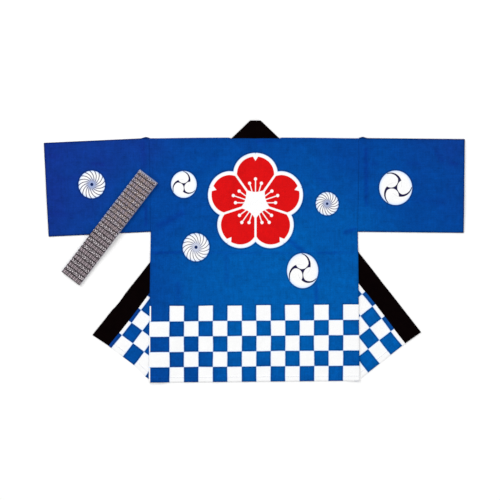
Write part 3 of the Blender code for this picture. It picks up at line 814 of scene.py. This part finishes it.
def belt_cotton():
    """A woven belt: rows of black dots across it, and between them plain bands and herringbone by turns.

    u is 0 in the middle of the top layer.
    """
    cloth = Cloth("belt_cloth_look", 0.86, 0.06, (1.0, 0.96, 0.97, 1.0))
    u, v, noise, stray, mix = cloth.u, cloth.v, cloth.noise, cloth.stray, cloth.mix
    wander = stray(0.005, 0.007, 0.0013)
    place = (u + wander - BELT_LINE_AT) / BELT_BAND
    aside = place.wrapped(-0.5, 0.5).size() * BELT_BAND
    dots = (v + wander).wave(0.00555) * 0.60 + 0.62
    line = (aside.ramp(0.0030, 0.0016) * (dots + aside.ramp(0.0012, 0.0004) * 0.45)).most(0.0).least(1.0)
    herring = (place * 0.5).wrapped(0.0, 1.0).above(0.5)
    fleck = noise(0.0036, 0.0032, 3.0, 6.0)
    slub = cloth.slub(0.0014, 0.022)
    gaps = noise(0.0050, 0.0046, 2.0, 6.0)
    stroke = (v + aside * 0.9 + wander * 1.6).wrapped(-0.0034, 0.0034).size()
    pale = stroke.ramp(0.0017, 0.0009) * gaps.ramp(0.42, 0.52) * aside.ramp(0.0012, 0.0026)
    dark = stroke.ramp(0.0020, 0.0027) * gaps.ramp(0.60, 0.44)
    hatch = (v + wander * 0.6).wave(0.0046) * 0.5 + 0.5
    uneven = (slub - 0.5) * 0.8 + (fleck - 0.5) * 0.7 + stray(0.012, 0.012, 0.6, 9.0)
    ticks = (v + stray(0.011, 0.030, 0.016, 13.0)).wave(0.0090) * 0.46 + 1.0
    plain = cloth.shaded(mix(hatch, srgb(66, 58, 62), srgb(166, 153, 159)), ticks)
    patterned = mix(dark * 0.95, srgb(90, 81, 86), srgb(30, 22, 28))
    patterned = mix(pale, patterned, srgb(224, 216, 220))
    colour = mix(herring, plain, patterned)
    # Tints of the dyes along the upper half, from tan to mauve
    tint = noise(0.012, 0.012, 2.0, 12.0).ramp(0.42, 0.58)
    tinted = mix(tint, srgb(158, 128, 104), srgb(126, 122, 150))
    colour = cloth.shaded(mix(u.ramp(0.06, -0.10) * 0.22, colour, tinted), uneven + 1.0)
    # The upper half is paler and bluer along its selvedges and where it is folded. Along the selvedges this
    # is partly pale threads and partly a painted highlight, stronger on the side facing the light.
    fold = (u - BELT_FOLD_AT).size().ramp(0.0056, 0.0026)
    colour = mix(line * (1.0 - fold) * 0.96, colour, srgb(16, 9, 14))
    half = BELT_WIDTH / 2
    rim = v.size().ramp(half - 0.0052, half - 0.0012) * u.ramp(0.03, -0.01)
    rim = rim * v.ramp(-half, half).made("MULTIPLY_ADD", 0.35, 0.40)
    pale_blue = mix(u.wave(0.0049).ramp(-0.3, 0.5), srgb(86, 96, 126), srgb(172, 180, 208))
    colour = mix(rim * (1.0 - line), colour, pale_blue)
    colour = mix(fold * 0.65, colour, mix(hatch, srgb(84, 100, 142), srgb(172, 186, 218)))
    height = cloth.weave(0.0010) * 0.2 + slub * 0.4 + fleck * 0.3 - line * 0.5 + pale * herring * 0.25
    return cloth.finished(colour, height, 0.6, 0.0008)


def thread_look(name, colour):
    cloth = Cloth(name, 0.75, 0.05, BLUE_SHEEN)
    twist = (cloth.u * (math.tau / 0.0006) + cloth.v * (math.tau / 0.0004)).sine()
    # Painted shade and highlight follow the thread's twist, as its relief does.
    return cloth.finished(cloth.shaded(colour, twist * 0.16 + 1.0), twist, 0.4, 0.0001)


# ---- the coat's pieces ----


def notched(front, x, y):
    """The top edge dips at the side of the neck, where the collar is folded."""
    share = min(1.0, max(0.0, (y - SHOULDER_Y + NOTCH_RUN) / NOTCH_RUN))
    return y - NOTCH_DEPTH * ease(abs(x - front.neck) / (2 * NOTCH_HALF)) * share


def back_lower(xy):
    """How high the back's lower face lies over the fronts, with its creases."""
    x, y = xy.T
    left, right = (front.under_back(np.c_[np.abs(x), y]) for front in FRONTS.values())
    press = PRESS_CREASE_RISE * ease(np.abs(y - PRESS_CREASE_Y) / PRESS_CREASE_HALF)
    waves = BACK_WAVE * (2 + np.sin(19 * x + 7 * y) * np.cos(6 * x - 15 * y + 1) + np.sin(11 * y - 4 * x))
    return np.where(x > 0, right, left) + press + crease_height(xy, BACK_CREASES) + waves


def back_place(xy, h):
    above_hem = xy[:, 1] - HEM_Y - hem_lift(xy[:, 0])
    rise = HEM_RISE * ease((above_hem - HEM_TURN + HEM_STEP) / (2 * HEM_STEP))
    return np.c_[xy, back_lower(xy) + h + rise * (h > CLOTH / 2)]


def make_back(material):
    def shape(x, y):
        x = x * side_half(y) / HEM_HALF
        swell = SWELL * np.interp(abs(x), SWELL_AT, SWELL_SHARES) * max(0.0, 1 - (SHOULDER_Y - y) / SWELL_RUN)
        lifted = hem_lift(x) * ease((y - HEM_Y - HEM_TURN - 2 * HEM_STEP) / HEM_LIFT_RUN)
        return x, notched(FRONTS[1 if x > 0 else -1], abs(x), y) + swell + lifted

    # Two rows close together make the hem's sharp step.
    turn = HEM_Y + HEM_TURN
    ys = [y for y in steps(HEM_Y, SHOULDER_Y - SEAM, GRID) if abs(y - turn) > 2 * HEM_STEP]
    ys = sorted([*ys, turn - HEM_STEP, turn + HEM_STEP])
    cut = flat_cut(steps(-HEM_HALF, HEM_HALF, GRID), ys, shape=shape)

    def in_armhole(xy):
        return (xy[:, 1] > UNDERARM_Y) & (np.abs(xy[:, 0]) > UNDERARM_HALF - GRID)

    return sheet_object("back_cloth", cut, CLOTH, back_place, lambda xy: xy, material, in_armhole)


def collar_stray(side, run):
    """How far outward the collar's seam and folded edge lie at a distance along the front's edge."""
    runs, seam, edge = np.divide(COLLAR_STRAY[side], 1000).T
    return np.interp(run, runs, seam), np.interp(run, runs, edge)


def strayed(side, xy):
    """Flat places of a front, moved along with the collar, with the coat's hem and by the sag beside it."""
    front = FRONTS[side]
    run = (xy - front.free_edge.point) @ front.free_edge.along
    outward = collar_stray(side, run)[0] * ease(front.seam.off(xy) / STRAY_RUN)
    past_fold = -front.fold.off(xy)
    above_hem = front.hem.off(xy)
    lift = hem_lift(side * HEM_HALF) * ease((above_hem - HEM_TURN) / HEM_LIFT_RUN)
    lift = lift * ease(past_fold / CORNER_LIFT_RUN)
    sag = FLAP_SAG[side] * (1 - ease(past_fold / SAG_RISES)) * ease((past_fold - SAG_FALLS[0]) / SAG_FALLS[1])
    sag = sag * ease(above_hem / SAG_UP)
    down = Line((0, 0), 2 * front.fold.angle).along
    moved = xy - outward[:, None] * front.free_edge.across - lift[:, None] * front.fold.along
    return moved + sag[:, None] * down


def front_place(side):
    front = FRONTS[side]

    def place(flat, h):
        xy = strayed(side, flat)
        x, y = front.fold.mirrored(xy).T
        beside = ease((HEM_HALF + BESIDE_RUN - x) / BESIDE_RUN) * (front.fold.off(xy) < 0)
        in_hem = ease((front.hem.off(flat) - HEM_TURN + HEM_STEP) / (2 * HEM_STEP))
        offset = h - CLOTH / 2 - HEM_RISE * in_hem * beside * (h < CLOTH / 2)
        wave = SMALL_WAVE * (1 + np.sin(60 * x + 25 * y) * np.sin(35 * y)) * beside
        lower = CLOTH / 2 + SEAM_LIFT * front.off_seam(xy, SEAM_LIFT_RUN)
        lower = lower + wave * front.off_seam(xy, FLAP_WAVE_RUN)
        placed = folded(front.fold, xy, front.under(xy) + lower, lower, offset)
        return placed * (side, 1, 1)

    return place


def make_front(side, material):
    front = FRONTS[side]
    top = front.seam.point + front.seam.along * ((front.seam.point[1] - SHOULDER_Y) / -front.seam.along[1])

    def shape(x, y):
        x = x * side_half(max(y, HEM_Y)) / HEM_HALF
        return x, notched(front, x, y)

    xs = steps(top[0] - 0.005, HEM_HALF, GRID)
    ys = steps(HEM_Y - HEM_TILTS, SHOULDER_Y, GRID)
    hem_scores = [front.hem.moved(HEM_TURN + out) for out in (-HEM_STEP, HEM_STEP)]
    cut = flat_cut(xs, ys, (front.seam, front.hem), turn_scores(front.fold) + hem_scores, shape)

    def to_uv(xy):
        return np.c_[front.seam.off(xy), front.hem.off(xy)]

    def at_collar(xy):
        return front.seam.off(xy) < GRID

    name = f"front_{SIDES[side]}_cloth"
    obj = sheet_object(name, cut, CLOTH, front_place(side), to_uv, material, at_collar)
    if side < 0:
        obj.data.flip_normals()
    return obj


def collar_laid(xy):
    """The collar's flat places, moved outward where it lies off its straight line."""
    x, y = xy.T
    across = (y - SHOULDER_Y) / COLLAR_WIDTH
    moved, out = y.copy(), x.copy()
    for side, front in FRONTS.items():
        run = side * x - front.nape
        seam, edge = collar_stray(side, run)
        moved += seam + (edge - seam) * across
        seam, edge = COLLAR_END[side]
        out += side * (seam + (edge - seam) * across) * ease((front.hem_run - run) / COLLAR_END_RUN)
    return np.c_[out, moved]


def collar_place(xy, h):
    xy = collar_laid(xy)
    placed = np.zeros((len(xy), 3))
    over = COLLAR_CLOTH + SEAM
    middle = COLLAR_CLOTH / 2
    offset = h - middle
    for side, front in FRONTS.items():
        mine = (xy[:, 0] > 0) == (side > 0)
        flat = xy[mine] * (side, 1)
        turned = front.nape_fold.mirrored(flat)
        under = folded(front.fold, turned, front.under(turned) + middle, middle, -offset)
        nape = Line(front.nape_fold.point, front.nape_fold.angle + math.pi)
        above = folded(nape, flat, over + middle, middle, offset)
        above[:, 2] += front.under_back(above[:, :2]) - over
        is_under = front.nape_fold.off(flat) > FOLD_TAKES / 2
        placed[mine] = np.where(is_under[:, None], under, above) * (side, 1, 1)
    return placed


def make_collar(material):
    ends, scores = [], []
    for side, front in FRONTS.items():
        lines = [line.turned_over(front.nape_fold) for line in turn_scores(front.fold)]
        lines += turn_scores(front.nape_fold)
        scores += lines if side > 0 else [line.on_left() for line in lines]
        ends.append(side * (front.nape + front.hem_run))
    cut = flat_cut(steps(*ends, GRID), steps(SHOULDER_Y, TOP_Y, COLLAR_WIDTH / 14), scores=scores)

    def at_neck(xy):
        return xy[:, 1] < SHOULDER_Y + 0.001

    return sheet_object("collar_cloth", cut, COLLAR_CLOTH, collar_place, lambda xy: xy, material, at_neck)


# ---- the sleeves ----


def sleeve_spot(side, u, v):
    """Where a sleeve's cloth lies at shares u from armhole to cuff and v from its lower to its upper edge."""
    y = UNDERARM_Y + SLEEVE_DEPTH * v
    armhole = np.array((side_half(y) + SEAM, y))
    cuff_top = np.array((CUFF_HALF, SHOULDER_Y - SLEEVE_DROP[side]))
    cuff_low = cuff_top - np.array((SLEEVE_DROP[side], SLEEVE_DEPTH))
    x, y = armhole + u * (cuff_low + v * (cuff_top - cuff_low) - armhole)
    bump = SHOULDER_BUMP * ease(abs(x - armhole[0] - SHOULDER_BUMP_AT) / SHOULDER_BUMP_HALF)
    return x * side, y + bump * max(0.0, (v - SHOULDER_BUMP_FROM) / (1 - SHOULDER_BUMP_FROM))


def sleeve_wall(side, u, v):
    """(x, y, height of its lower face) of a sleeve's upper wall."""
    x, y = spot = sleeve_spot(side, u, v)
    bulge = math.sin(math.pi * v)
    turns = SLEEVE_WAVES_ALONG * u + SLEEVE_WAVES_ACROSS * v * side
    ripple = SMALL_WAVE * math.sin(38 * x + 21 * y) * math.sin(27 * y + 1)
    wave = SLEEVE_WAVE * math.sin(math.tau * turns) + ripple
    loft = (SLEEVE_LOFT * bulge**0.6 + wave * bulge) * min(1.0, u / LOFT_RUN)
    crease = crease_height(np.array([spot]), SLEEVE_CREASES[side])[0] * bulge**0.5
    return x, y, CLOTH + SEAM + max(0.0, loft) + crease


def sleeve_rise(u):
    """How much the seam's allowance and the turned cuff add to the upper wall."""
    at = u * SLEEVE_RUN
    allowance = ALLOWANCE_RISE * ease((at - ALLOWANCE) / RISE_RUN) * min(1.0, at / RISE_RUN)
    return allowance + HEM_RISE * ease((SLEEVE_RUN - at - HEM_TURN) / RISE_RUN)


def make_sleeve(side, material):
    """A flattened tube, open at the armhole and the cuff, made ring by ring."""
    marks = [RISE_RUN, ALLOWANCE, ALLOWANCE + RISE_RUN]
    marks += [SLEEVE_RUN - HEM_TURN - RISE_RUN, SLEEVE_RUN - HEM_TURN]
    stations = [s for s in steps(0, SLEEVE_RUN, GRID) if all(abs(s - m) > 0.0008 for m in marks)] + marks
    # The rings' points are closer together towards the sleeve's edges.
    shares = np.linspace(0, 1, round(SLEEVE_DEPTH / GRID) + 1)
    levels = 0.65 * shares + 0.35 * (0.5 - 0.5 * np.cos(np.pi * shares))
    bends = [math.pi * k / 6 for k in range(1, 6)]
    middle = CLOTH + SEAM / 2
    outers, inners, places = [], [], []
    for station in sorted(stations):
        u = station / SLEEVE_RUN
        (low_x, low_y), (_, top_y) = sleeve_spot(side, u, 0.0), sleeve_spot(side, u, 1.0)
        outer, inner, flat = [], [], []
        for sign, wall, end in ((1, levels, 1.0), (-1, levels[::-1], 0.0)):
            for v in wall:
                x, y, under = sleeve_wall(side, u, v)
                outer.append((x, y, 0.0 if sign > 0 else under + CLOTH + sleeve_rise(u)))
                inner.append((x, y, CLOTH if sign > 0 else under))
                flat.append((x, 2 * top_y - y if sign > 0 else y))
            x, y = sleeve_spot(side, u, end)
            for bend in bends:
                out, up = sign * math.sin(bend), sign * math.cos(bend)
                outer.append((x, y + middle * out, middle - middle * up))
                inner.append((x, y + SEAM / 2 * out, middle - SEAM / 2 * up))
                flat.append((x, y))
        outers.append(outer)
        inners.append(inner)
        places.append([*flat, (low_x, 2 * top_y - low_y)])
    rings = outers + inners[::-1]
    x, y, _ = (np.concatenate(rings) * (side, 1, 1)).T
    top = SHOULDER_Y - SLEEVE_DROP[side] * (x - SHOULDER_HALF) / (CUFF_HALF - SHOULDER_HALF)
    to_cuff = CUFF_HALF - x - SLEEVE_DROP[side] * (top - y) / SLEEVE_DEPTH
    near = np.minimum(np.minimum(to_cuff, top - y), y - top + SLEEVE_DEPTH).clip(0)
    # Painted shade along the sleeve's edges, and a little along its armhole seam.
    sewn = SEWN_SHADE_AND_WEAR * np.exp(-(x - SHOULDER_HALF).clip(0) / SHADE_AND_WEAR_REACH)
    edge_shade_and_wear = np.maximum(np.exp(-near / SHADE_AND_WEAR_REACH), sewn)
    return tube(f"sleeve_{SIDES[side]}_cloth", rings, places + places[::-1], material, edge_shade_and_wear, way=-side)


# ---- the belt ----

BELT_LENGTH = 0.411
BELT_CLOTH = 0.0010
BELT_CENTRE = np.array((-0.4605, 0.0798))
BELT_ANGLE = math.radians(52.5)
BELT_ALONG = np.array((math.cos(BELT_ANGLE), math.sin(BELT_ANGLE)))
BELT_ACROSS = np.array((-BELT_ALONG[1], BELT_ALONG[0]))
BELT_STEPS = 113
BELT_TURN_STEPS = 6
BELT_SCALLOP = 0.0003
BELT_RIPPLE = 0.00012
BELT_SAG = 0.0004
BELT_TAIL = 0.0045
BELT_SHORT = 0.0024
BELT_EDGE = 0.001
BELT_EDGE_THICKNESS = 0.72
LOWEST = 0.0001
# Each layer's shift across the bundle, in metres at its lower and upper end
BELT_SHIFTS = (
    (0.0004, -0.0006), (-0.0008, -0.0006), (-0.0008, 0.0009), (0.0006, 0.0009), (0.0006, -0.0005),
    (-0.0003, 0.0004),
)


def belt_heights():
    """Heights of the bundle's underside along it, read off its solid and smoothed."""
    tree = BVHTree.FromObject(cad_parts["belt"], bpy.context.evaluated_depsgraph_get())
    reach = BELT_LENGTH / 2 - 0.004
    places = np.linspace(-reach, reach, 120)
    spots = BELT_CENTRE + BELT_ALONG * places[:, None]
    found = [tree.ray_cast(Vector((x, y, -1.0)), Vector((0, 0, 1)))[0].z for x, y in spots]
    kernel = np.hanning(9)
    padded = np.pad(found, 4, mode="edge")
    return places, np.convolve(padded, kernel / kernel.sum(), mode="valid")


def make_belt(material):
    """One long strip folded to and fro into six layers, which part a little at their edges."""
    pitch = BELT_CLOTH + SEAM
    reach = BELT_LENGTH / 2 - pitch / 2 - BELT_SHORT
    path = []  # (distance along the bundle, height above its underside, shift across)
    for k, shifts in enumerate(BELT_SHIFTS):
        way = -1 if k % 2 else 1
        height = k * pitch + BELT_CLOTH / 2
        run = np.linspace(-reach - BELT_TAIL, reach, BELT_STEPS)[::way]
        for s in run:
            share = (s + reach) / (2 * reach)
            shift = shifts[0] * (1 - share) + shifts[1] * share
            path.append((s, height, shift + BELT_RIPPLE * math.sin(55 * s + 2.1 * k)))
        for turn in np.linspace(0, math.pi, BELT_TURN_STEPS + 2)[1:-1]:
            out = way * math.sin(turn) * pitch / 2
            path.append((run[-1] + out, height + pitch * (1 - math.cos(turn)) / 2, shifts[way > 0]))
    s, height, shift = np.array(path[:-BELT_TURN_STEPS]).T
    line = np.c_[s, height + np.interp(s, *belt_heights())]
    tangent = np.gradient(line, axis=0)
    tangent /= np.linalg.norm(tangent, axis=1, keepdims=True)
    normal = np.c_[-tangent[:, 1], tangent[:, 0]]
    length = distances(line)
    length -= length[len(line) - (BELT_STEPS + 1) // 2]
    half = BELT_WIDTH / 2
    columns = steps(-half, half, 0.0035)
    r = np.concatenate([columns, [half + EDGE_BULGE], columns[::-1], [-half - EDGE_BULGE]])
    face = np.repeat([1.0, 0.0, -1.0, 0.0], [len(columns), 1, len(columns), 1])
    out = np.abs(r) / half
    lift = face * BELT_CLOTH / 2 * np.where(np.abs(r) > half - BELT_EDGE, BELT_EDGE_THICKNESS, 1.0)
    s, z = np.moveaxis(line[:, None] + normal[:, None] * lift[:, None], 2, 0)
    # Edges lie a little lower than the middle of each layer, most in the upper ones.
    z = z - BELT_SAG * out**6 * (height[:, None] / (6 * pitch))
    # The selvedge swells a little at each row of dots.
    swell = BELT_SCALLOP * (1 - np.abs(np.sin(np.pi * (length - BELT_LINE_AT) / BELT_BAND)))
    aside = r + np.sign(r) * swell[:, None] * out**8 + shift[:, None]
    xy = BELT_CENTRE + BELT_ALONG * s[..., None] + BELT_ACROSS * aside[..., None]
    rings = np.concatenate([xy, np.maximum(z, LOWEST)[..., None]], axis=2)
    places = [[(at, across) for across in (*r, r[0])] for at in length]
    edge_shade_and_wear = np.tile(np.exp(-(half - np.minimum(np.abs(r), half)) / 0.002), len(line))
    return tube("belt_cloth", rings, places, material, edge_shade_and_wear, capped=True)


# ---- stitches ----

STITCH_PITCH = 0.0030
STITCH_LENGTH = 0.0023
STITCH_WIDTH = 0.00042
STITCH_HEIGHT = 0.00026
STITCH_SUNK = 0.00010
STITCH_IN = 0.0028
EDGE_STITCH_IN = 0.0016
LINE_STEP = 0.004
END_GAP = 0.002
HEM_LINE = 0.30


def stitches(piece, runs, material):
    """Machine stitches along runs, each (places, ways off the cloth) as two arrays."""
    points, faces, corner_uv = [], [], []
    for spots, ups in runs:
        where = distances(spots)

        def at(distance, values):
            return Vector([np.interp(distance, where, axis) for axis in values.T])

        for k in range(int(where[-1] // STITCH_PITCH)):
            begin = (k + 0.12) * STITCH_PITCH
            first, last = at(begin, spots), at(begin + STITCH_LENGTH, spots)
            up = at(begin + STITCH_LENGTH / 2, ups).normalized()
            aside = (last - first).normalized().cross(up).normalized() * STITCH_WIDTH / 2
            sunk = up * STITCH_SUNK
            start = len(points)
            points.append(first - sunk)
            for share in (0.2, 0.8):
                middle = first.lerp(last, share)
                points += [middle + aside, middle + up * STITCH_HEIGHT, middle - aside, middle - sunk]
            points.append(last - sunk)
            for i, j in ((1, 0), (2, 1), (3, 2), (0, 3)):
                new = [(0, 1 + j, 1 + i), (1 + i, 1 + j, 5 + j, 5 + i), (9, 5 + i, 5 + j)]
                faces += [[start + n for n in face] for face in new]
                corner_uv += [(n * 0.0003, begin) for face in new for n in face]
    return mesh_object(f"{piece}_stitches", points, faces, corner_uv, material)


def both_faces(place, xy, thickness):
    """A stitch line on both faces of a sheet, from its flat places: (places, ways off the cloth) of each."""
    runs = []
    for h in (0.0, thickness):
        spots = place(xy, h)
        ups = spots - place(xy, thickness - h)
        ups /= np.linalg.norm(ups, axis=1, keepdims=True)
        # Stitches under the coat are pressed into the cloth by what it lies on.
        spots[:, 2] = np.where(ups[:, 2] < 0, np.maximum(spots[:, 2], STITCH_HEIGHT), spots[:, 2])
        runs.append((spots, ups))
    return runs


def level(start, end, y):
    """Flat places along a line of one height."""
    x = np.linspace(start, end, max(2, round((end - start) / LINE_STEP)))
    return np.c_[x, np.full(len(x), y)]


def back_runs():
    xy = level(-HEM_HALF + END_GAP, HEM_HALF - END_GAP, HEM_Y)
    xy[:, 1] += hem_lift(xy[:, 0]) + HEM_TURN - STITCH_IN
    return both_faces(back_place, xy, CLOTH)


def front_runs(side):
    front = FRONTS[side]
    line = front.hem.moved(HEM_TURN - STITCH_IN)
    xy = line.point - line.along * np.linspace(END_GAP, HEM_LINE, 80)[:, None]
    return both_faces(front_place(side), xy[front.seam.off(xy) > END_GAP], CLOTH)


def collar_runs():
    """Stitches beside the seam and near the folded edge, over the whole strip."""
    ends = [side * (front.nape + front.hem_run - END_GAP) for side, front in FRONTS.items()]
    lines = [level(*ends, y) for y in (SHOULDER_Y + STITCH_IN, TOP_Y - EDGE_STITCH_IN)]
    return [run for xy in lines for run in both_faces(collar_place, xy, COLLAR_CLOTH)]


def sleeve_runs(side):
    """Round the cuff, on the upper and the lower wall."""
    u = (SLEEVE_RUN - HEM_TURN + STITCH_IN) / SLEEVE_RUN
    upper = np.array([sleeve_wall(side, u, v) for v in np.linspace(0.01, 0.99, 70)])
    lower = upper.copy()
    upper[:, 2] += CLOTH + sleeve_rise(u)
    lower[:, 2] = STITCH_HEIGHT
    up = np.tile((0.0, 0.0, 1.0), (len(upper), 1))
    return [(upper, up), (lower, -up)]


# ---- building ----


def both_walls(side):
    """A sleeve's motif, and its like on the wall under it."""
    kind, (x, y), *data = SLEEVE_MOTIFS[side]
    return (kind, (x, y), *data), (kind, (x, 2 * SHOULDER_Y - SLEEVE_DROP[side] - y), *data)


def front_look(side):
    shade = {"tone": FLAP_TONE[side], "seam_shade": FLAP_SEAM_SHADE[side]}
    return printed_cotton(f"front_{SIDES[side]}_look", band=FLAP_CHECKS[side], **shade)


def sleeve_look(side):
    return printed_cotton(f"sleeve_{SIDES[side]}_look", both_walls(side), marks=SLEEVE_CREASE_SHADE[side])


def dress(piece, node, slot, sewn=(), **cut):
    """Lets a cloth and its stitches stand for a solid: hides the solid and puts them under the root. How the
    cloth was cut is not used.
    """
    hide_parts(node)
    for part in (piece, *sewn):
        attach(part, "root")
    list(sewn)


back_look = printed_cotton("back_look", BACK_MOTIFS, BACK_CHECKS, bare_selvedge=True, marks=BACK_CREASE_SHADE)
blue_thread = thread_look("blue_thread", srgb(6, 60, 136))
black_thread = thread_look("black_thread", srgb(20, 14, 17))

back = make_back(back_look)
fronts = {side: make_front(side, front_look(side)) for side in SIDES}
collar = make_collar(collar_cotton())
sleeves = {side: make_sleeve(side, sleeve_look(side)) for side in SIDES}
belt = make_belt(belt_cotton())
sewn_back = [stitches("back", back_runs(), blue_thread)]
sewn_fronts = {side: [stitches(f"front_{SIDES[side]}", front_runs(side), blue_thread)] for side in SIDES}
sewn_sleeves = {side: [stitches(f"sleeve_{SIDES[side]}", sleeve_runs(side), blue_thread)] for side in SIDES}
sewn_collar = [stitches("collar", collar_runs(), black_thread)]

under_back = ["front_left_cloth", "front_right_cloth"]
back_cut = {"flat": (2 * HEM_HALF, LENGTH), "area": BACK_AREA}
dress(back, "back", "body_cloth", sewn_back, held="laid", rests_on=under_back, **back_cut)
for side, name in SIDES.items():
    front_cut = {"flat": FRONT_FLAT, "area": FRONT_AREA}
    dress(fronts[side], f"front_{name}", "body_cloth", sewn_fronts[side], held="folded", **front_cut)
for side, name in SIDES.items():
    flat = (2 * SLEEVE_DEPTH, SLEEVE_RUN)
    dress(sleeves[side], f"sleeve_{name}", "body_cloth", sewn_sleeves[side], held="laid", flat=flat)
dress(collar, "collar", "collar_cloth", sewn_collar, held="folded", flat=(COLLAR_WIDTH, COLLAR_RUN))
dress(belt, "belt", "belt_cloth", held="folded", flat=(BELT_WIDTH, BELT_RUN), rests_on=["sleeve_left_cloth"])


# ---- floor, light and camera ----

FLOOR_HALF = 6.0
FLOOR_DROP = 0.0002
PIXEL = 0.0032
# The coat's origin lies at this place of the photograph, in pixels.
PHOTO_ORIGIN = (254.25, 251.75)
PHOTO_PIXELS = 500
CAMERA_HEIGHT = 3.2
SENSOR = 36.0


def make_floor():
    mesh = bpy.data.meshes.new("floor")
    corners = [(FLOOR_HALF * x, FLOOR_HALF * y, 0.0) for x, y in ((-1, -1), (1, -1), (1, 1), (-1, 1))]
    mesh.from_pydata(corners, [], [(0, 1, 2, 3)])
    floor = add_object("floor", mesh)
    floor.location.z = -FLOOR_DROP
    material = bpy.data.materials.new("floor_look")
    material.use_nodes = True
    shader = material.node_tree.nodes["Principled BSDF"]
    shader.inputs["Base Color"].default_value = (0.97, 0.97, 0.97, 1.0)
    shader.inputs["Roughness"].default_value = 0.9
    mesh.materials.append(material)


def area_light(name, place, size, power):
    """A square light that faces the origin."""
    data = bpy.data.lights.new(name, "AREA")
    data.size = size
    data.energy = power
    light = add_object(name, data)
    light.location = place
    light.rotation_euler = (-Vector(place)).to_track_quat("-Z", "Y").to_euler()


def make_camera():
    data = bpy.data.cameras.new("camera")
    data.sensor_width = SENSOR
    data.lens = SENSOR * CAMERA_HEIGHT / (PHOTO_PIXELS * PIXEL)
    camera = add_object("camera", data)
    x, y = PHOTO_ORIGIN
    camera.location = ((PHOTO_PIXELS / 2 - x) * PIXEL, (y - PHOTO_PIXELS / 2) * PIXEL, CAMERA_HEIGHT)
    bpy.context.scene.camera = camera


make_floor()
area_light("key", (-2.4, 2.9, 2.5), 2.6, 118.0)
area_light("fill", (2.2, -1.6, 2.4), 2.4, 26.0)
world = bpy.data.worlds.new("world")
world.use_nodes = True
background = world.node_tree.nodes["Background"]
background.inputs["Color"].default_value = (1.0, 1.0, 1.0, 1.0)
background.inputs["Strength"].default_value = 0.70
bpy.context.scene.world = world
bpy.context.scene.view_settings.view_transform = "Standard"
make_camera()
